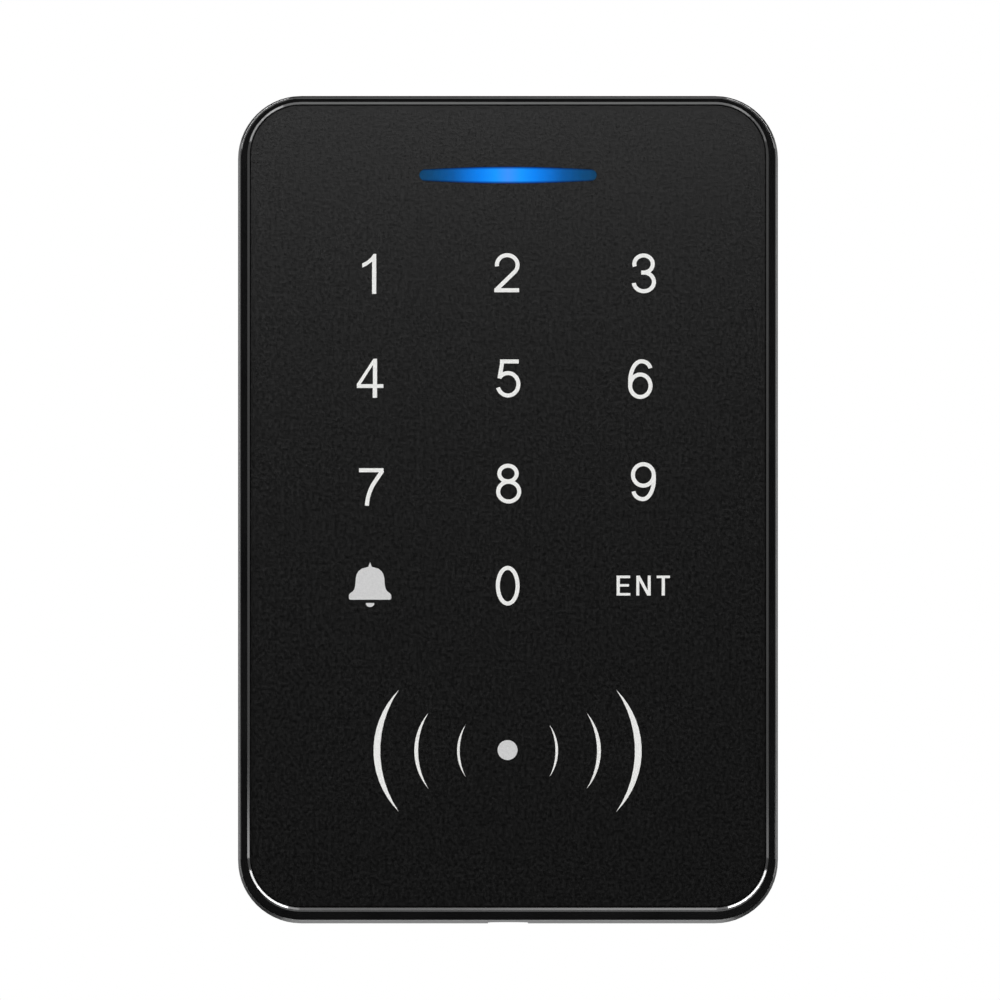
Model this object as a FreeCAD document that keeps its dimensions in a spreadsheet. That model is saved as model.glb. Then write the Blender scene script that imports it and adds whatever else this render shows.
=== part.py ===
import FreeCAD, Part
import math
import os
import re
import Sketcher

# A wall-mounted keypad and card reader: a flat head that hooks over a wall plate.
# +Z is up, +Y points into the wall and the front faces -Y. The origin lies on the wall,
# in the middle of the wall plate's back. A level is a distance from the wall towards
# the front, so a level of 5 is y = -5. All lengths are in millimetres.

SIZES = {
    # housing
    "body_width": 77.0,
    "body_height": 118.0,
    "body_depth": 22.0,
    "corner_radius": 9.0,
    "wall_gap": 0.6,
    "flare": 0.25,
    "rear_wall": 2.0,
    "side_wall": 3.2,
    "seat_level": 5.4,
    "rim_side": 1.85,
    "rim_top": 1.6,
    "rim_bottom": 2.2,
    "rim_corner_step": 1.95,
    "rim_edge_round": 0.35,
    "rim_bevel": 0.6,
    "ledge_width": 2.3,
    "ledge_thickness": 1.6,
    # touch panel and what lies behind it
    "panel_recess": 0.45,
    "panel_thickness": 1.8,
    "panel_clearance": 0.06,
    "tape_thickness": 0.2,
    "tape_inset": 0.2,
    "tape_width": 1.7,
    "film_clearance": 0.4,
    "bar_width": 25.2,
    "bar_middle_height": 2.3,
    "bar_end_height": 1.6,
    "bar_drop": 11.5,
    "bar_clearance": 0.05,
    "bar_flange_side": 1.2,
    "bar_flange_thickness": 1.6,
    "key_side_inset": 19.0,
    "key_top_drop": 25.7,
    "key_bottom_rise": 47.9,
    "cell_width": 13.5,
    "cell_wall_up": 3.8,
    "cell_radius": 2.0,
    "shield_side_gap": 0.1,
    "shield_end_gap": 3.5,
    "shield_corner": 2.0,
    "pad_side_gap": 0.75,
    "pad_band": 1.5,
    "pad_gap": 0.1,
    "coil_side_gap": 3.0,
    "coil_height": 24.0,
    "coil_rise": 24.4,
    "coil_corner": 8.0,
    "coil_band": 3.0,
    "coil_thickness": 1.5,
    "coil_clearance": 1.0,
    # main board
    "board_clearance": 0.8,
    "board_end_gap": 5.8,
    "board_corner": 2.0,
    "board_thickness": 1.6,
    "board_standoff": 1.2,
    "board_screw_inset": 3.8,
    "board_screw_drop": 21.0,
    "post_radius": 2.6,
    "board_screw_shank": 1.0,
    "board_screw_head": 1.9,
    "board_screw_head_height": 1.2,
    "board_screw_reach": 2.2,
    "thread_clearance": 0.05,
    "screw_hole_clearance": 0.2,
    "socket_width": 1.2,
    "socket_depth": 0.6,
    # back cover
    "plate_thickness": 2.4,
    "cover_gap": 0.8,
    "cover_thickness": 1.6,
    "cover_clearance": 0.2,
    "cover_screw_inset": 5.5,
    "cover_screw_shank": 1.1,
    "cover_screw_head": 2.1,
    "cover_screw_head_height": 1.1,
    "cover_screw_reach": 7.0,
    "gasket_inset": 0.15,
    "gasket_corner_ease": 0.8,
    "notch_clearance": 0.5,
    "vent_radius": 0.8,
    "vent_pitch": 3.2,
    # cable entry
    "cable_up": -14.0,
    "cable_across": 0.0,
    "cable_bore": 3.5,
    "grommet_neck": 5.0,
    "grommet_flange": 7.0,
    "grommet_rear_flange": 0.6,
    "grommet_front_flange": 1.2,
    "cable_opening": 10.0,
    # wall plate
    "plate_side_gap": 0.5,
    "plate_top_gap": 2.5,
    "plate_bottom_gap": 0.7,
    "wall_hole_across": 46.0,
    "wall_hole_up": 84.0,
    "wall_hole_radius": 2.1,
    "wall_hole_sink": 3.7,
    "box_hole_across": 60.0,
    "box_hole_length": 7.0,
    # hooks
    "hinge_level": 4.6,
    "hinge_drop": 2.0,
    "hook_radius": 1.0,
    "hook_clearance": 0.1,
    "hook_across": 22.0,
    "hook_width": 8.0,
    "hook_end_clearance": 0.3,
    "hook_arm": 1.6,
    "hook_foot_drop": 5.0,
    "hook_foot_height": 2.4,
    # security screw
    "lug_width": 12.0,
    "lug_height": 4.0,
    "lug_reach": 9.6,
    "lug_gap": 0.4,
    "lug_seat": 1.4,
    "lock_level": 5.9,
    "lock_shank": 1.5,
    "lock_head": 2.6,
    "lock_head_height": 1.6,
    "lock_length": 5.2,
    "lock_slot_clearance": 0.25,
    "lock_seat_gap": 0.05,
    "insert_radius": 2.2,
    "insert_length": 3.6,
    # parts on the back of the main board
    "relay_across": -20.0,
    "relay_drop": 24.0,
    "relay_width": 12.5,
    "relay_height": 20.0,
    "relay_gap": 0.95,
    "buzzer_across": 18.0,
    "buzzer_drop": 23.0,
    "buzzer_radius": 6.0,
    "buzzer_gap": 1.85,
    "buzzer_hole": 1.2,
    "buzzer_hole_depth": 2.0,
    "capacitor_across": -24.5,
    "capacitor_up": 4.0,
    "capacitor_pitch": 8.6,
    "capacitor_radius": 3.15,
    "capacitor_depth": 7.7,
    "controller_across": 0.0,
    "controller_up": 8.0,
    "controller_size": 10.0,
    "controller_depth": 1.4,
    "controller_leads": 12,
    "controller_lead_pitch": 0.7,
    "reader_chip_across": 14.0,
    "reader_chip_rise": 16.0,
    "memory_chip_across": -14.0,
    "memory_chip_rise": 16.0,
    "small_chip_width": 3.9,
    "reader_chip_length": 8.7,
    "memory_chip_length": 4.9,
    "small_chip_depth": 1.5,
    "small_lead_pitch": 1.27,
    "lead_length": 1.0,
    "lead_width": 0.4,
    "lead_thickness": 0.25,
    "chip_standoff": 0.1,
    "regulator_across": -24.0,
    "regulator_up": -12.0,
    "regulator_width": 6.5,
    "regulator_height": 6.2,
    "regulator_depth": 2.3,
    "inductor_across": -2.0,
    "inductor_drop": 23.0,
    "inductor_size": 7.0,
    "inductor_depth": 3.4,
    "crystal_across": 13.0,
    "crystal_up": 8.0,
    "crystal_width": 4.2,
    "crystal_height": 10.8,
    "crystal_depth": 3.4,
    "diode_across": -12.0,
    "diode_drop": 8.0,
    "diode_pitch": 6.5,
    "diode_width": 2.6,
    "diode_height": 4.4,
    "diode_depth": 2.2,
    "passive_across": -3.5,
    "passive_up": -20.5,
    "passive_columns": 4,
    "passive_rows": 5,
    "passive_pitch_across": 3.4,
    "passive_pitch_up": 2.2,
    "passive_width": 1.6,
    "passive_height": 0.8,
    "passive_depth": 0.7,
    "header_across": 0.0,
    "header_rise": 6.0,
    "header_pins": 10,
    "pin_pitch": 2.5,
    "header_end": 2.4,
    "header_height": 5.8,
    "header_depth": 7.0,
    "header_wall": 0.9,
    "header_floor": 1.6,
    "pin_size": 0.64,
    "pin_reach": 5.8,
    "jumper_across": 24.0,
    "jumper_up": 6.0,
    "jumper_cap_width": 5.0,
    "jumper_cap_height": 2.4,
    "jumper_cap_depth": 5.0,
    "jumper_base": 2.5,
    "jumper_pin_reach": 6.4,
    "jumper_clearance": 0.05,
    # tamper switch
    "tamper_across": 23.0,
    "tamper_up": -20.0,
    "switch_size": 6.0,
    "switch_depth": 7.2,
    "plunger_radius": 1.5,
    "plunger_clearance": 0.08,
    "plunger_gap": 0.1,
    "plunger_seat": 3.2,
    "plunger_hole": 2.3,
    "plunger_travel": 1.2,
    "spring_wire": 0.3,
    "spring_radius": 1.05,
    "spring_turns": 4,
    "spring_gap": 0.06,
    # lights on the front of the main board
    "key_light_width": 1.6,
    "key_light_height": 0.8,
    "key_light_depth": 0.6,
    "status_light_size": 4.6,
    "status_light_pitch": 8.0,
    "status_light_depth": 1.1,
}

doc = FreeCAD.newDocument("card_reader")
sheet = doc.addObject("Spreadsheet::Sheet", "Sizes")
for row, (alias, value) in enumerate(SIZES.items(), start=1):
    sheet.set("A%d" % row, alias.replace("_", " "))
    sheet.set("B%d" % row, str(value))
    sheet.setAlias("B%d" % row, alias)
doc.recompute()

bodies = []


def rule(text):
    """Turns a rule written with plain size names into an expression on the sheet."""
    return re.sub("[a-z_]+", lambda word: "Sizes." * (word[0] in SIZES) + word[0], text)


def size(text):
    """The value that a rule gives now, as a plain number."""
    found = sheet.evalExpression(rule(text))
    return float(getattr(found, "Value", found))


# Levels, from the wall to the front.
COVER_REAR = "( plate_thickness + cover_gap )"
COVER_FRONT = "( plate_thickness + cover_gap + cover_thickness )"
PANEL_FRONT = "( body_depth - panel_recess )"
PANEL_REAR = "( body_depth - panel_recess - panel_thickness )"
LEDGE_FRONT = "( body_depth - panel_recess - panel_thickness - tape_thickness )"
LEDGE_REAR = "( " + LEDGE_FRONT + " - ledge_thickness )"
BOARD_FRONT = "( " + LEDGE_REAR + " - board_standoff )"
BOARD_REAR = "( " + BOARD_FRONT + " - board_thickness )"

# Openings in the housing, from the wall to the front.
RECESS_WIDTH = "( body_width - 2 * rear_wall )"
RECESS_HEIGHT = "( body_height - 2 * rear_wall )"
HALL_WIDTH = "( body_width - 2 * side_wall )"
HALL_HEIGHT = "( body_height - 2 * side_wall )"
PANEL_WIDTH = "( body_width - 2 * rim_side )"
PANEL_HEIGHT = "( body_height - rim_top - rim_bottom )"
PANEL_UP = "( ( rim_bottom - rim_top ) / 2 )"
PANEL_CORNER = "( corner_radius - rim_corner_step )"
HINGE_UP = "( body_height / 2 - hinge_drop )"
POST_ACROSS = "( body_width / 2 - cover_screw_inset )"
POST_UP = "( body_height / 2 - cover_screw_inset )"
BOARD_WIDTH = "( " + HALL_WIDTH + " - 2 * board_clearance )"
BOARD_SCREW_ACROSS = "( " + BOARD_WIDTH + " / 2 - board_screw_inset )"
BOARD_SCREW_UP = "( body_height / 2 - board_screw_drop )"
BOARD_HEIGHT = "( " + HALL_HEIGHT + " - 2 * board_end_gap )"
WINDOW_HEIGHT = "( " + PANEL_HEIGHT + " - 2 * ledge_width )"
SHIELD_WIDTH = "( 2 * ( " + BOARD_SCREW_ACROSS + " - post_radius - shield_side_gap ) )"
SHIELD_HEIGHT = "( " + WINDOW_HEIGHT + " - 2 * shield_end_gap )"
BAR_UP = "( body_height / 2 - bar_drop )"
KEY_TOP = "( body_height / 2 - key_top_drop )"
KEY_ACROSS = "( body_width / 2 - key_side_inset )"
KEY_UP = "( ( body_height - key_top_drop - key_bottom_rise ) / 3 )"
CELL_HEIGHT = "( " + KEY_UP + " - cell_wall_up )"
COIL_UP = "( coil_rise - body_height / 2 )"
COIL_WIDTH = "( " + SHIELD_WIDTH + " - 2 * coil_side_gap )"
SEAT_WIDTH = "( 2 * lock_head + 2 * rear_wall )"
LUG_TOP = "( 0 - body_height / 2 + rear_wall + lug_seat + lug_gap + lug_height )"


def origin_part(body, role):
    return next(part for part in body.Origin.OriginFeatures if part.Role == role)


def new_body(name):
    """A body whose label names the piece and its file."""
    body = doc.addObject("PartDesign::Body", name)
    body.Label = name
    bodies.append(body)
    return body


def draw(body, level, across="0", up="0"):
    """A sketch that faces the front at a level, centred on a place on the face."""
    sketch = body.newObject("Sketcher::SketchObject", "sketch")
    sketch.AttachmentSupport = (origin_part(body, "XZ_Plane"), [""])
    sketch.MapMode = "FlatFace"
    for axis, text in (("x", across), ("y", up), ("z", level)):
        sketch.setExpression("AttachmentOffset.Base." + axis, rule(text))
    return sketch


def draw_across(body, level, up, across="0"):
    """A sketch that faces +X, centred at a level and a height."""
    sketch = body.newObject("Sketcher::SketchObject", "sketch")
    sketch.AttachmentSupport = (origin_part(body, "YZ_Plane"), [""])
    sketch.MapMode = "FlatFace"
    for axis, text in (("x", "0 - " + level), ("y", up), ("z", across)):
        sketch.setExpression("AttachmentOffset.Base." + axis, rule(text))
    return sketch


def draw_upward(body, up, across, level):
    """A sketch that faces +Z, centred on a place across and at a level."""
    sketch = body.newObject("Sketcher::SketchObject", "sketch")
    sketch.AttachmentSupport = (origin_part(body, "XY_Plane"), [""])
    sketch.MapMode = "FlatFace"
    for axis, text in (("x", across), ("y", "0 - " + level), ("z", up)):
        sketch.setExpression("AttachmentOffset.Base." + axis, rule(text))
    return sketch


def bound(sketch, kind, *where):
    """A size on the sketch, tied to its rule, which comes last."""
    index = sketch.addConstraint(Sketcher.Constraint(kind, *where[:-1], size(where[-1])))
    sketch.setExpression("Constraints[%d]" % index, rule(where[-1]))


def join_ends(sketch, first, sides, kind):
    """Joins each side's end to the next one's start, all the way round."""
    for side in range(sides):
        follower = first + (side + 1) % sides
        sketch.addConstraint(Sketcher.Constraint(kind, first + side, 2, follower, 1))


def rectangle(sketch, width, height):
    """A sharp rectangle about the sketch's centre."""
    first = sketch.GeometryCount
    right = size(width) / 2
    top = size(height) / 2
    corners = [(-right, -top), (right, -top), (right, top), (-right, top)]
    for side in range(4):
        start = FreeCAD.Vector(*corners[side], 0)
        end = FreeCAD.Vector(*corners[(side + 1) % 4], 0)
        sketch.addGeometry(Part.LineSegment(start, end), False)
    join_ends(sketch, first, 4, "Coincident")
    for side, kind in enumerate(("Horizontal", "Vertical", "Horizontal", "Vertical")):
        sketch.addConstraint(Sketcher.Constraint(kind, first + side))
    sketch.addConstraint(Sketcher.Constraint("Symmetric", first, 1, first + 2, 1, -1, 1))
    bound(sketch, "DistanceX", first, 1, first, 2, width)
    bound(sketch, "DistanceY", first + 1, 1, first + 1, 2, height)
    return sketch


def rounded(sketch, width, height, radius):
    """A rectangle with round corners about the sketch's centre."""
    first = sketch.GeometryCount
    round_size = size(radius)
    right = size(width) / 2
    top = size(height) / 2
    inner_right = right - round_size
    inner_top = top - round_size
    centres = [(inner_right, -inner_top), (inner_right, inner_top),
               (-inner_right, inner_top), (-inner_right, -inner_top)]
    lines = [((-inner_right, -top), (inner_right, -top)),
             ((right, -inner_top), (right, inner_top)),
             ((inner_right, top), (-inner_right, top)),
             ((-right, inner_top), (-right, -inner_top))]
    for side in range(4):
        start, end = (FreeCAD.Vector(*point, 0) for point in lines[side])
        sketch.addGeometry(Part.LineSegment(start, end), False)
        circle = Part.Circle(FreeCAD.Vector(*centres[side], 0), FreeCAD.Vector(0, 0, 1), round_size)
        turn = math.pi / 2 * (side - 1)
        sketch.addGeometry(Part.ArcOfCircle(circle, turn, turn + math.pi / 2), False)
    join_ends(sketch, first, 8, "Tangent")
    for side, kind in enumerate(("Horizontal", "Vertical", "Horizontal", "Vertical")):
        sketch.addConstraint(Sketcher.Constraint(kind, first + 2 * side))
    for corner in (3, 5, 7):
        sketch.addConstraint(Sketcher.Constraint("Equal", first + 1, first + corner))
    sketch.addConstraint(Sketcher.Constraint("Symmetric", first, 1, first + 4, 1, -1, 1))
    bound(sketch, "Radius", first + 1, radius)
    bound(sketch, "DistanceX", first + 6, 1, first + 2, 1, width)
    bound(sketch, "DistanceY", first, 1, first + 4, 1, height)
    return sketch


def circle(sketch, radius):
    """A circle about the sketch's centre."""
    shape = Part.Circle(FreeCAD.Vector(), FreeCAD.Vector(0, 0, 1), size(radius))
    index = sketch.addGeometry(shape, False)
    sketch.addConstraint(Sketcher.Constraint("Coincident", index, 3, -1, 1))
    bound(sketch, "Radius", index, radius)
    return sketch


def slot(sketch, length, height):
    """A level slot with half-round ends about the sketch's centre."""
    first = sketch.GeometryCount
    length = "( " + length + " )"
    height = "( " + height + " )"
    half = size(height) / 2
    reach = size(length) / 2 - half
    up = FreeCAD.Vector(0, 0, 1)
    right_end = Part.Circle(FreeCAD.Vector(reach, 0, 0), up, half)
    left_end = Part.Circle(FreeCAD.Vector(-reach, 0, 0), up, half)
    corners = [FreeCAD.Vector(x, y, 0) for x, y in
               ((-reach, -half), (reach, -half), (reach, half), (-reach, half))]
    sketch.addGeometry(Part.LineSegment(corners[0], corners[1]), False)
    sketch.addGeometry(Part.ArcOfCircle(right_end, -math.pi / 2, math.pi / 2), False)
    sketch.addGeometry(Part.LineSegment(corners[2], corners[3]), False)
    sketch.addGeometry(Part.ArcOfCircle(left_end, math.pi / 2, 3 * math.pi / 2), False)
    join_ends(sketch, first, 4, "Tangent")
    sketch.addConstraint(Sketcher.Constraint("Horizontal", first))
    sketch.addConstraint(Sketcher.Constraint("Equal", first + 1, first + 3))
    sketch.addConstraint(Sketcher.Constraint("Symmetric", first, 1, first + 2, 1, -1, 1))
    bound(sketch, "Radius", first + 1, height + " / 2")
    bound(sketch, "DistanceX", first, 1, first, 2, length + " - " + height)
    return sketch


def bowed_bar(sketch, gap):
    """The light bar's outline: round ends, and long sides that bow out in the middle."""
    first = sketch.GeometryCount
    cap = "( bar_end_height / 2 + " + gap + " )"
    reach = "( bar_width / 2 - bar_end_height / 2 )"
    rise = "( ( bar_middle_height - bar_end_height ) / 2 )"
    bow = "( ( " + reach + " ^ 2 + " + rise + " ^ 2 ) / ( 2 * " + rise + " ) )"
    end_x = size(reach)
    end_r = size(cap)
    bow_r = size(bow)
    drop = bow_r - size(rise) - end_r
    spread = math.asin(end_x / bow_r)
    up = FreeCAD.Vector(0, 0, 1)
    quarter = math.pi / 2
    arcs = [((end_x, 0), end_r, -quarter, quarter),
            ((0, -drop), bow_r, quarter - spread, quarter + spread),
            ((-end_x, 0), end_r, quarter, 3 * quarter),
            ((0, drop), bow_r, -quarter - spread, -quarter + spread)]
    for centre, radius, start, end in arcs:
        shape = Part.Circle(FreeCAD.Vector(*centre, 0), up, radius)
        sketch.addGeometry(Part.ArcOfCircle(shape, start, end), False)
    join_ends(sketch, first, 4, "Coincident")
    sketch.addConstraint(Sketcher.Constraint("PointOnObject", first, 3, -1))
    for end in (first, first + 2):
        sketch.addConstraint(Sketcher.Constraint("Vertical", end, 3, end, 1))
        sketch.addConstraint(Sketcher.Constraint("Vertical", end, 3, end, 2))
    sketch.addConstraint(Sketcher.Constraint("Symmetric", first, 3, first + 2, 3, -1, 1))
    sketch.addConstraint(Sketcher.Constraint("Equal", first, first + 2))
    sketch.addConstraint(Sketcher.Constraint("Equal", first + 1, first + 3))
    bound(sketch, "Radius", first, cap)
    bound(sketch, "Radius", first + 1, bow)
    bound(sketch, "DistanceX", first + 2, 3, first, 3, "2 * " + reach)
    return sketch


def set_tip(body, feature):
    body.Tip = feature
    doc.recompute()
    return feature


def pad(body, sketch, length):
    """Material from the sketch along its own direction: towards the front, +X or +Z."""
    feature = body.newObject("PartDesign::Pad", "pad")
    feature.Profile = sketch
    feature.setExpression("Length", rule(length))
    return set_tip(body, feature)


def cut(body, sketch, length):
    """A pocket from the sketch along its own direction."""
    feature = body.newObject("PartDesign::Pocket", "pocket")
    feature.Profile = sketch
    feature.Reversed = True
    feature.setExpression("Length", rule(length))
    return set_tip(body, feature)


def grid(body, features, columns="1", across="0", rows="1", down="0"):
    """Copies of features to the right and downwards."""
    feature = body.newObject("PartDesign::LinearPattern", "pattern")
    feature.Originals = features
    ways = [("X_Axis", columns, across, False), ("Z_Axis", rows, down, True)]
    used = [way for way in ways if way[1] != "1"]
    for suffix, (axis, count, step, backwards) in zip(("", "2"), used):
        setattr(feature, "Direction" + suffix, (origin_part(body, axis), [""]))
        setattr(feature, "Reversed" + suffix, backwards)
        feature.setExpression("Occurrences" + suffix, rule(count))
        feature.setExpression("Length" + suffix, rule("( " + count + " - 1 ) * " + step))
    return set_tip(body, feature)


def mirror(body, features):
    """The same features on the other side of the middle."""
    feature = body.newObject("PartDesign::Mirrored", "mirror")
    feature.Originals = features
    feature.MirrorPlane = (origin_part(body, "YZ_Plane"), [""])
    return set_tip(body, feature)


def edges_of(body, wanted):
    """Names of the tip's edges that a test picks."""
    edges = body.Tip.Shape.Edges
    return ["Edge%d" % number for number, edge in enumerate(edges, start=1) if wanted(edge)]


def soften(body, kind, amount, wanted):
    """A fillet or chamfer on the edges that a test picks."""
    base = body.Tip
    names = edges_of(body, wanted)
    feature = body.newObject("PartDesign::" + kind, kind.lower())
    feature.Base = (base, names)
    feature.setExpression("Radius" if kind == "Fillet" else "Size", rule(amount))
    return set_tip(body, feature)


def at_level(level):
    """Picks the edges that lie wholly at one level."""
    depth = -size(level)

    def wanted(edge):
        box = edge.BoundBox
        return abs(box.YMin - depth) < 1e-4 and abs(box.YMax - depth) < 1e-4
    return wanted


def along_depth(edge):
    """Picks the straight edges that run from the wall to the front."""
    box = edge.BoundBox
    return box.XLength < 1e-4 and box.ZLength < 1e-4


def block(name, start, length, width, height, across="0", up="0"):
    """A square-cornered piece that stands on a level."""
    body = new_body(name)
    pad(body, rectangle(draw(body, start, across, up), width, height), length)
    return body


def disc(name, start, length, radius, across="0", up="0"):
    """A round piece that stands on a level."""
    body = new_body(name)
    pad(body, circle(draw(body, start, across, up), radius), length)
    return body


# ---- Housing ----

def make_front_frame():
    """The moulded rim and side walls, with the seats for all that the head carries."""
    body = new_body("front_frame")
    depth = "( body_depth - wall_gap )"
    outline = rounded(draw(body, "wall_gap"), "body_width", "body_height", "corner_radius")
    shell = pad(body, outline, depth)
    shell.setExpression("TaperAngle", rule("-1 * atan( flare / " + depth + " )"))
    doc.recompute()
    soften(body, "Fillet", "rim_edge_round", at_level("body_depth"))
    recess = rounded(draw(body, "wall_gap"), RECESS_WIDTH, RECESS_HEIGHT,
                     "corner_radius - rear_wall")
    cut(body, recess, "seat_level - wall_gap")
    hall = rounded(draw(body, "seat_level"), HALL_WIDTH, HALL_HEIGHT,
                   "corner_radius - side_wall")
    cut(body, hall, LEDGE_REAR + " - seat_level")
    window = rounded(draw(body, LEDGE_REAR, "0", PANEL_UP), PANEL_WIDTH + " - 2 * ledge_width",
                     WINDOW_HEIGHT, PANEL_CORNER + " - ledge_width")
    cut(body, window, "ledge_thickness")
    seat_width = PANEL_WIDTH + " + 2 * panel_clearance"
    seat_height = PANEL_HEIGHT + " + 2 * panel_clearance"
    seat = rounded(draw(body, LEDGE_FRONT, "0", PANEL_UP), seat_width, seat_height,
                   PANEL_CORNER + " + panel_clearance")
    cut(body, seat, "body_depth - " + LEDGE_FRONT)
    bevel = rounded(draw(body, PANEL_FRONT, "0", PANEL_UP), seat_width, seat_height,
                    PANEL_CORNER + " + panel_clearance")
    slope = cut(body, bevel, "panel_recess")
    slope.setExpression("TaperAngle", rule("atan( rim_bevel / panel_recess )"))
    doc.recompute()
    add_cover_posts(body)
    add_board_posts(body)
    add_hook_grooves(body)
    add_lock_slot(body)
    return body


def add_cover_posts(body):
    """Four posts in the corners for the back cover's screws."""
    post = pad(body, circle(draw(body, "seat_level", "0 - " + POST_ACROSS, POST_UP),
                            "post_radius"), LEDGE_REAR + " - seat_level")
    pilot = cut(body, circle(draw(body, "seat_level", "0 - " + POST_ACROSS, POST_UP),
                             "cover_screw_shank + thread_clearance"),
                "cover_screw_reach + screw_hole_clearance")
    grid(body, [post, pilot], "2", "2 * " + POST_ACROSS, "2", "2 * " + POST_UP)


def add_board_posts(body):
    """Four lugs on the ledge that the main board is screwed to."""
    reach = "( " + HALL_WIDTH + " / 2 - " + BOARD_SCREW_ACROSS + " + post_radius )"
    middle = "( " + HALL_WIDTH + " / 2 + side_wall / 4 - " + reach + " / 2 )"
    features = []
    for side in ("-1 * ", "1 * "):
        screw = side + BOARD_SCREW_ACROSS
        shelf = rectangle(draw(body, LEDGE_REAR, side + middle, BOARD_SCREW_UP),
                          reach + " + side_wall / 2", "2 * post_radius")
        features.append(pad(body, shelf, "ledge_thickness"))
        post = circle(draw(body, BOARD_FRONT, screw, BOARD_SCREW_UP), "post_radius")
        features.append(pad(body, post, "board_standoff + ledge_thickness / 2"))
        pilot = circle(draw(body, BOARD_FRONT, screw, BOARD_SCREW_UP),
                       "board_screw_shank + thread_clearance")
        features.append(cut(body, pilot, "board_screw_reach + screw_hole_clearance"))
    grid(body, features, "1", "0", "2", "2 * " + BOARD_SCREW_UP)


def add_hook_grooves(body):
    """Two half-round grooves in the top wall that hang on the wall plate's hooks."""
    start = "hook_across - hook_width / 2 - hook_end_clearance"
    groove = cut(body, circle(draw_across(body, "hinge_level", HINGE_UP, start),
                              "hook_radius + hook_clearance"),
                 "hook_width + 2 * hook_end_clearance")
    mirror(body, [groove])


def add_lock_slot(body):
    """A thick seat in the bottom wall, with a slot for the security screw open to the wall."""
    bottom = "( body_height / 2 )"
    seat_depth = "( lock_level + lock_head + rear_wall - wall_gap )"
    middle = "( wall_gap + " + seat_depth + " / 2 )"
    seat = draw_upward(body, "0 - " + bottom + " + rear_wall / 2", "0", middle)
    pad(body, rectangle(seat, SEAT_WIDTH, seat_depth),
        "rear_wall / 2 + lug_seat")
    for radius, start, length in (
            ("( lock_head + lock_slot_clearance )", "0 - " + bottom + " - rear_wall", "2 * rear_wall"),
            ("( lock_shank + lock_slot_clearance )", "0 - " + bottom,
             "rear_wall + lug_seat + lug_gap / 2")):
        cut(body, circle(draw_upward(body, start, "0", "lock_level"), radius), length)
        channel = rectangle(draw_upward(body, start, "0", "lock_level / 2"),
                            "2 * " + radius, "lock_level")
        cut(body, channel, length)


def make_touch_panel():
    """The flat front sheet that is touched, with a slot for the light bar."""
    body = new_body("touch_panel")
    sheet_outline = rounded(draw(body, PANEL_REAR, "0", PANEL_UP), PANEL_WIDTH, PANEL_HEIGHT,
                            PANEL_CORNER)
    pad(body, sheet_outline, "panel_thickness")
    cut(body, bowed_bar(draw(body, PANEL_REAR, "0", BAR_UP), "bar_clearance"),
        "panel_thickness")
    return body


def make_panel_tape():
    """The adhesive ring between the touch panel and its ledge."""
    body = new_body("panel_tape")
    outer = rounded(draw(body, LEDGE_FRONT, "0", PANEL_UP), PANEL_WIDTH + " - 2 * tape_inset",
                    PANEL_HEIGHT + " - 2 * tape_inset", PANEL_CORNER + " - tape_inset")
    pad(body, outer, "tape_thickness")
    inset = "( tape_inset + tape_width )"
    inner = rounded(draw(body, LEDGE_FRONT, "0", PANEL_UP), PANEL_WIDTH + " - 2 * " + inset,
                    PANEL_HEIGHT + " - 2 * " + inset, PANEL_CORNER + " - " + inset)
    cut(body, inner, "tape_thickness")
    return body


def make_diffuser_film():
    """A thin milky film behind the legends."""
    body = new_body("diffuser_film")
    outline = rounded(draw(body, LEDGE_FRONT, "0", PANEL_UP), SHIELD_WIDTH, SHIELD_HEIGHT,
                      "shield_corner")
    pad(body, outline, "tape_thickness")
    cut(body, bowed_bar(draw(body, LEDGE_FRONT, "0", BAR_UP), "film_clearance"),
        "tape_thickness")
    return body


def make_light_bar():
    """The clear bar of the status light: a flange behind the panel and a nose through it."""
    body = new_body("light_bar")
    flange_start = LEDGE_FRONT + " - bar_flange_thickness"
    flange = slot(draw(body, flange_start, "0", BAR_UP), "bar_width + 2 * bar_flange_side",
                  "bar_middle_height + 2 * bar_flange_side")
    pad(body, flange, "bar_flange_thickness")
    nose = bowed_bar(draw(body, LEDGE_FRONT, "0", BAR_UP), "0")
    pad(body, nose, PANEL_FRONT + " - " + LEDGE_FRONT)
    return body


def make_light_shield():
    """The white grid that keeps each key's light to itself."""
    body = new_body("light_shield")
    depth = LEDGE_FRONT + " - " + BOARD_FRONT
    outline = rounded(draw(body, BOARD_FRONT, "0", PANEL_UP), SHIELD_WIDTH, SHIELD_HEIGHT,
                      "shield_corner")
    pad(body, outline, depth)
    cell = rounded(draw(body, BOARD_FRONT, "0 - " + KEY_ACROSS, KEY_TOP), "cell_width",
                   CELL_HEIGHT, "cell_radius")
    grid(body, [cut(body, cell, depth)], "3", KEY_ACROSS, "4", KEY_UP)
    bar_room = slot(draw(body, BOARD_FRONT, "0", BAR_UP),
                    "bar_width + 2 * bar_flange_side + 2 * film_clearance",
                    "bar_middle_height + 2 * bar_flange_side + 2 * film_clearance")
    cut(body, bar_room, depth)
    coil_room = rounded(draw(body, BOARD_FRONT, "0", COIL_UP), COIL_WIDTH + " + 2 * coil_clearance",
                        "coil_height + 2 * coil_clearance", "coil_corner + coil_clearance")
    cut(body, coil_room, depth)
    return body


PAD_OUTER = "( min(cell_width ; " + CELL_HEIGHT + " ) / 2 - pad_side_gap )"


def make_touch_pads():
    """A foam ring round each key's light, which carries the touch to the board."""
    body = new_body("touch_pads")
    length = LEDGE_FRONT + " - " + BOARD_FRONT + " - pad_gap"
    place = ("0 - " + KEY_ACROSS, KEY_TOP)
    ring = pad(body, circle(draw(body, BOARD_FRONT, *place), PAD_OUTER), length)
    hole = cut(body, circle(draw(body, BOARD_FRONT, *place), PAD_OUTER + " - pad_band"), length)
    grid(body, [ring, hole], "3", KEY_ACROSS, "4", KEY_UP)
    return body


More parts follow.
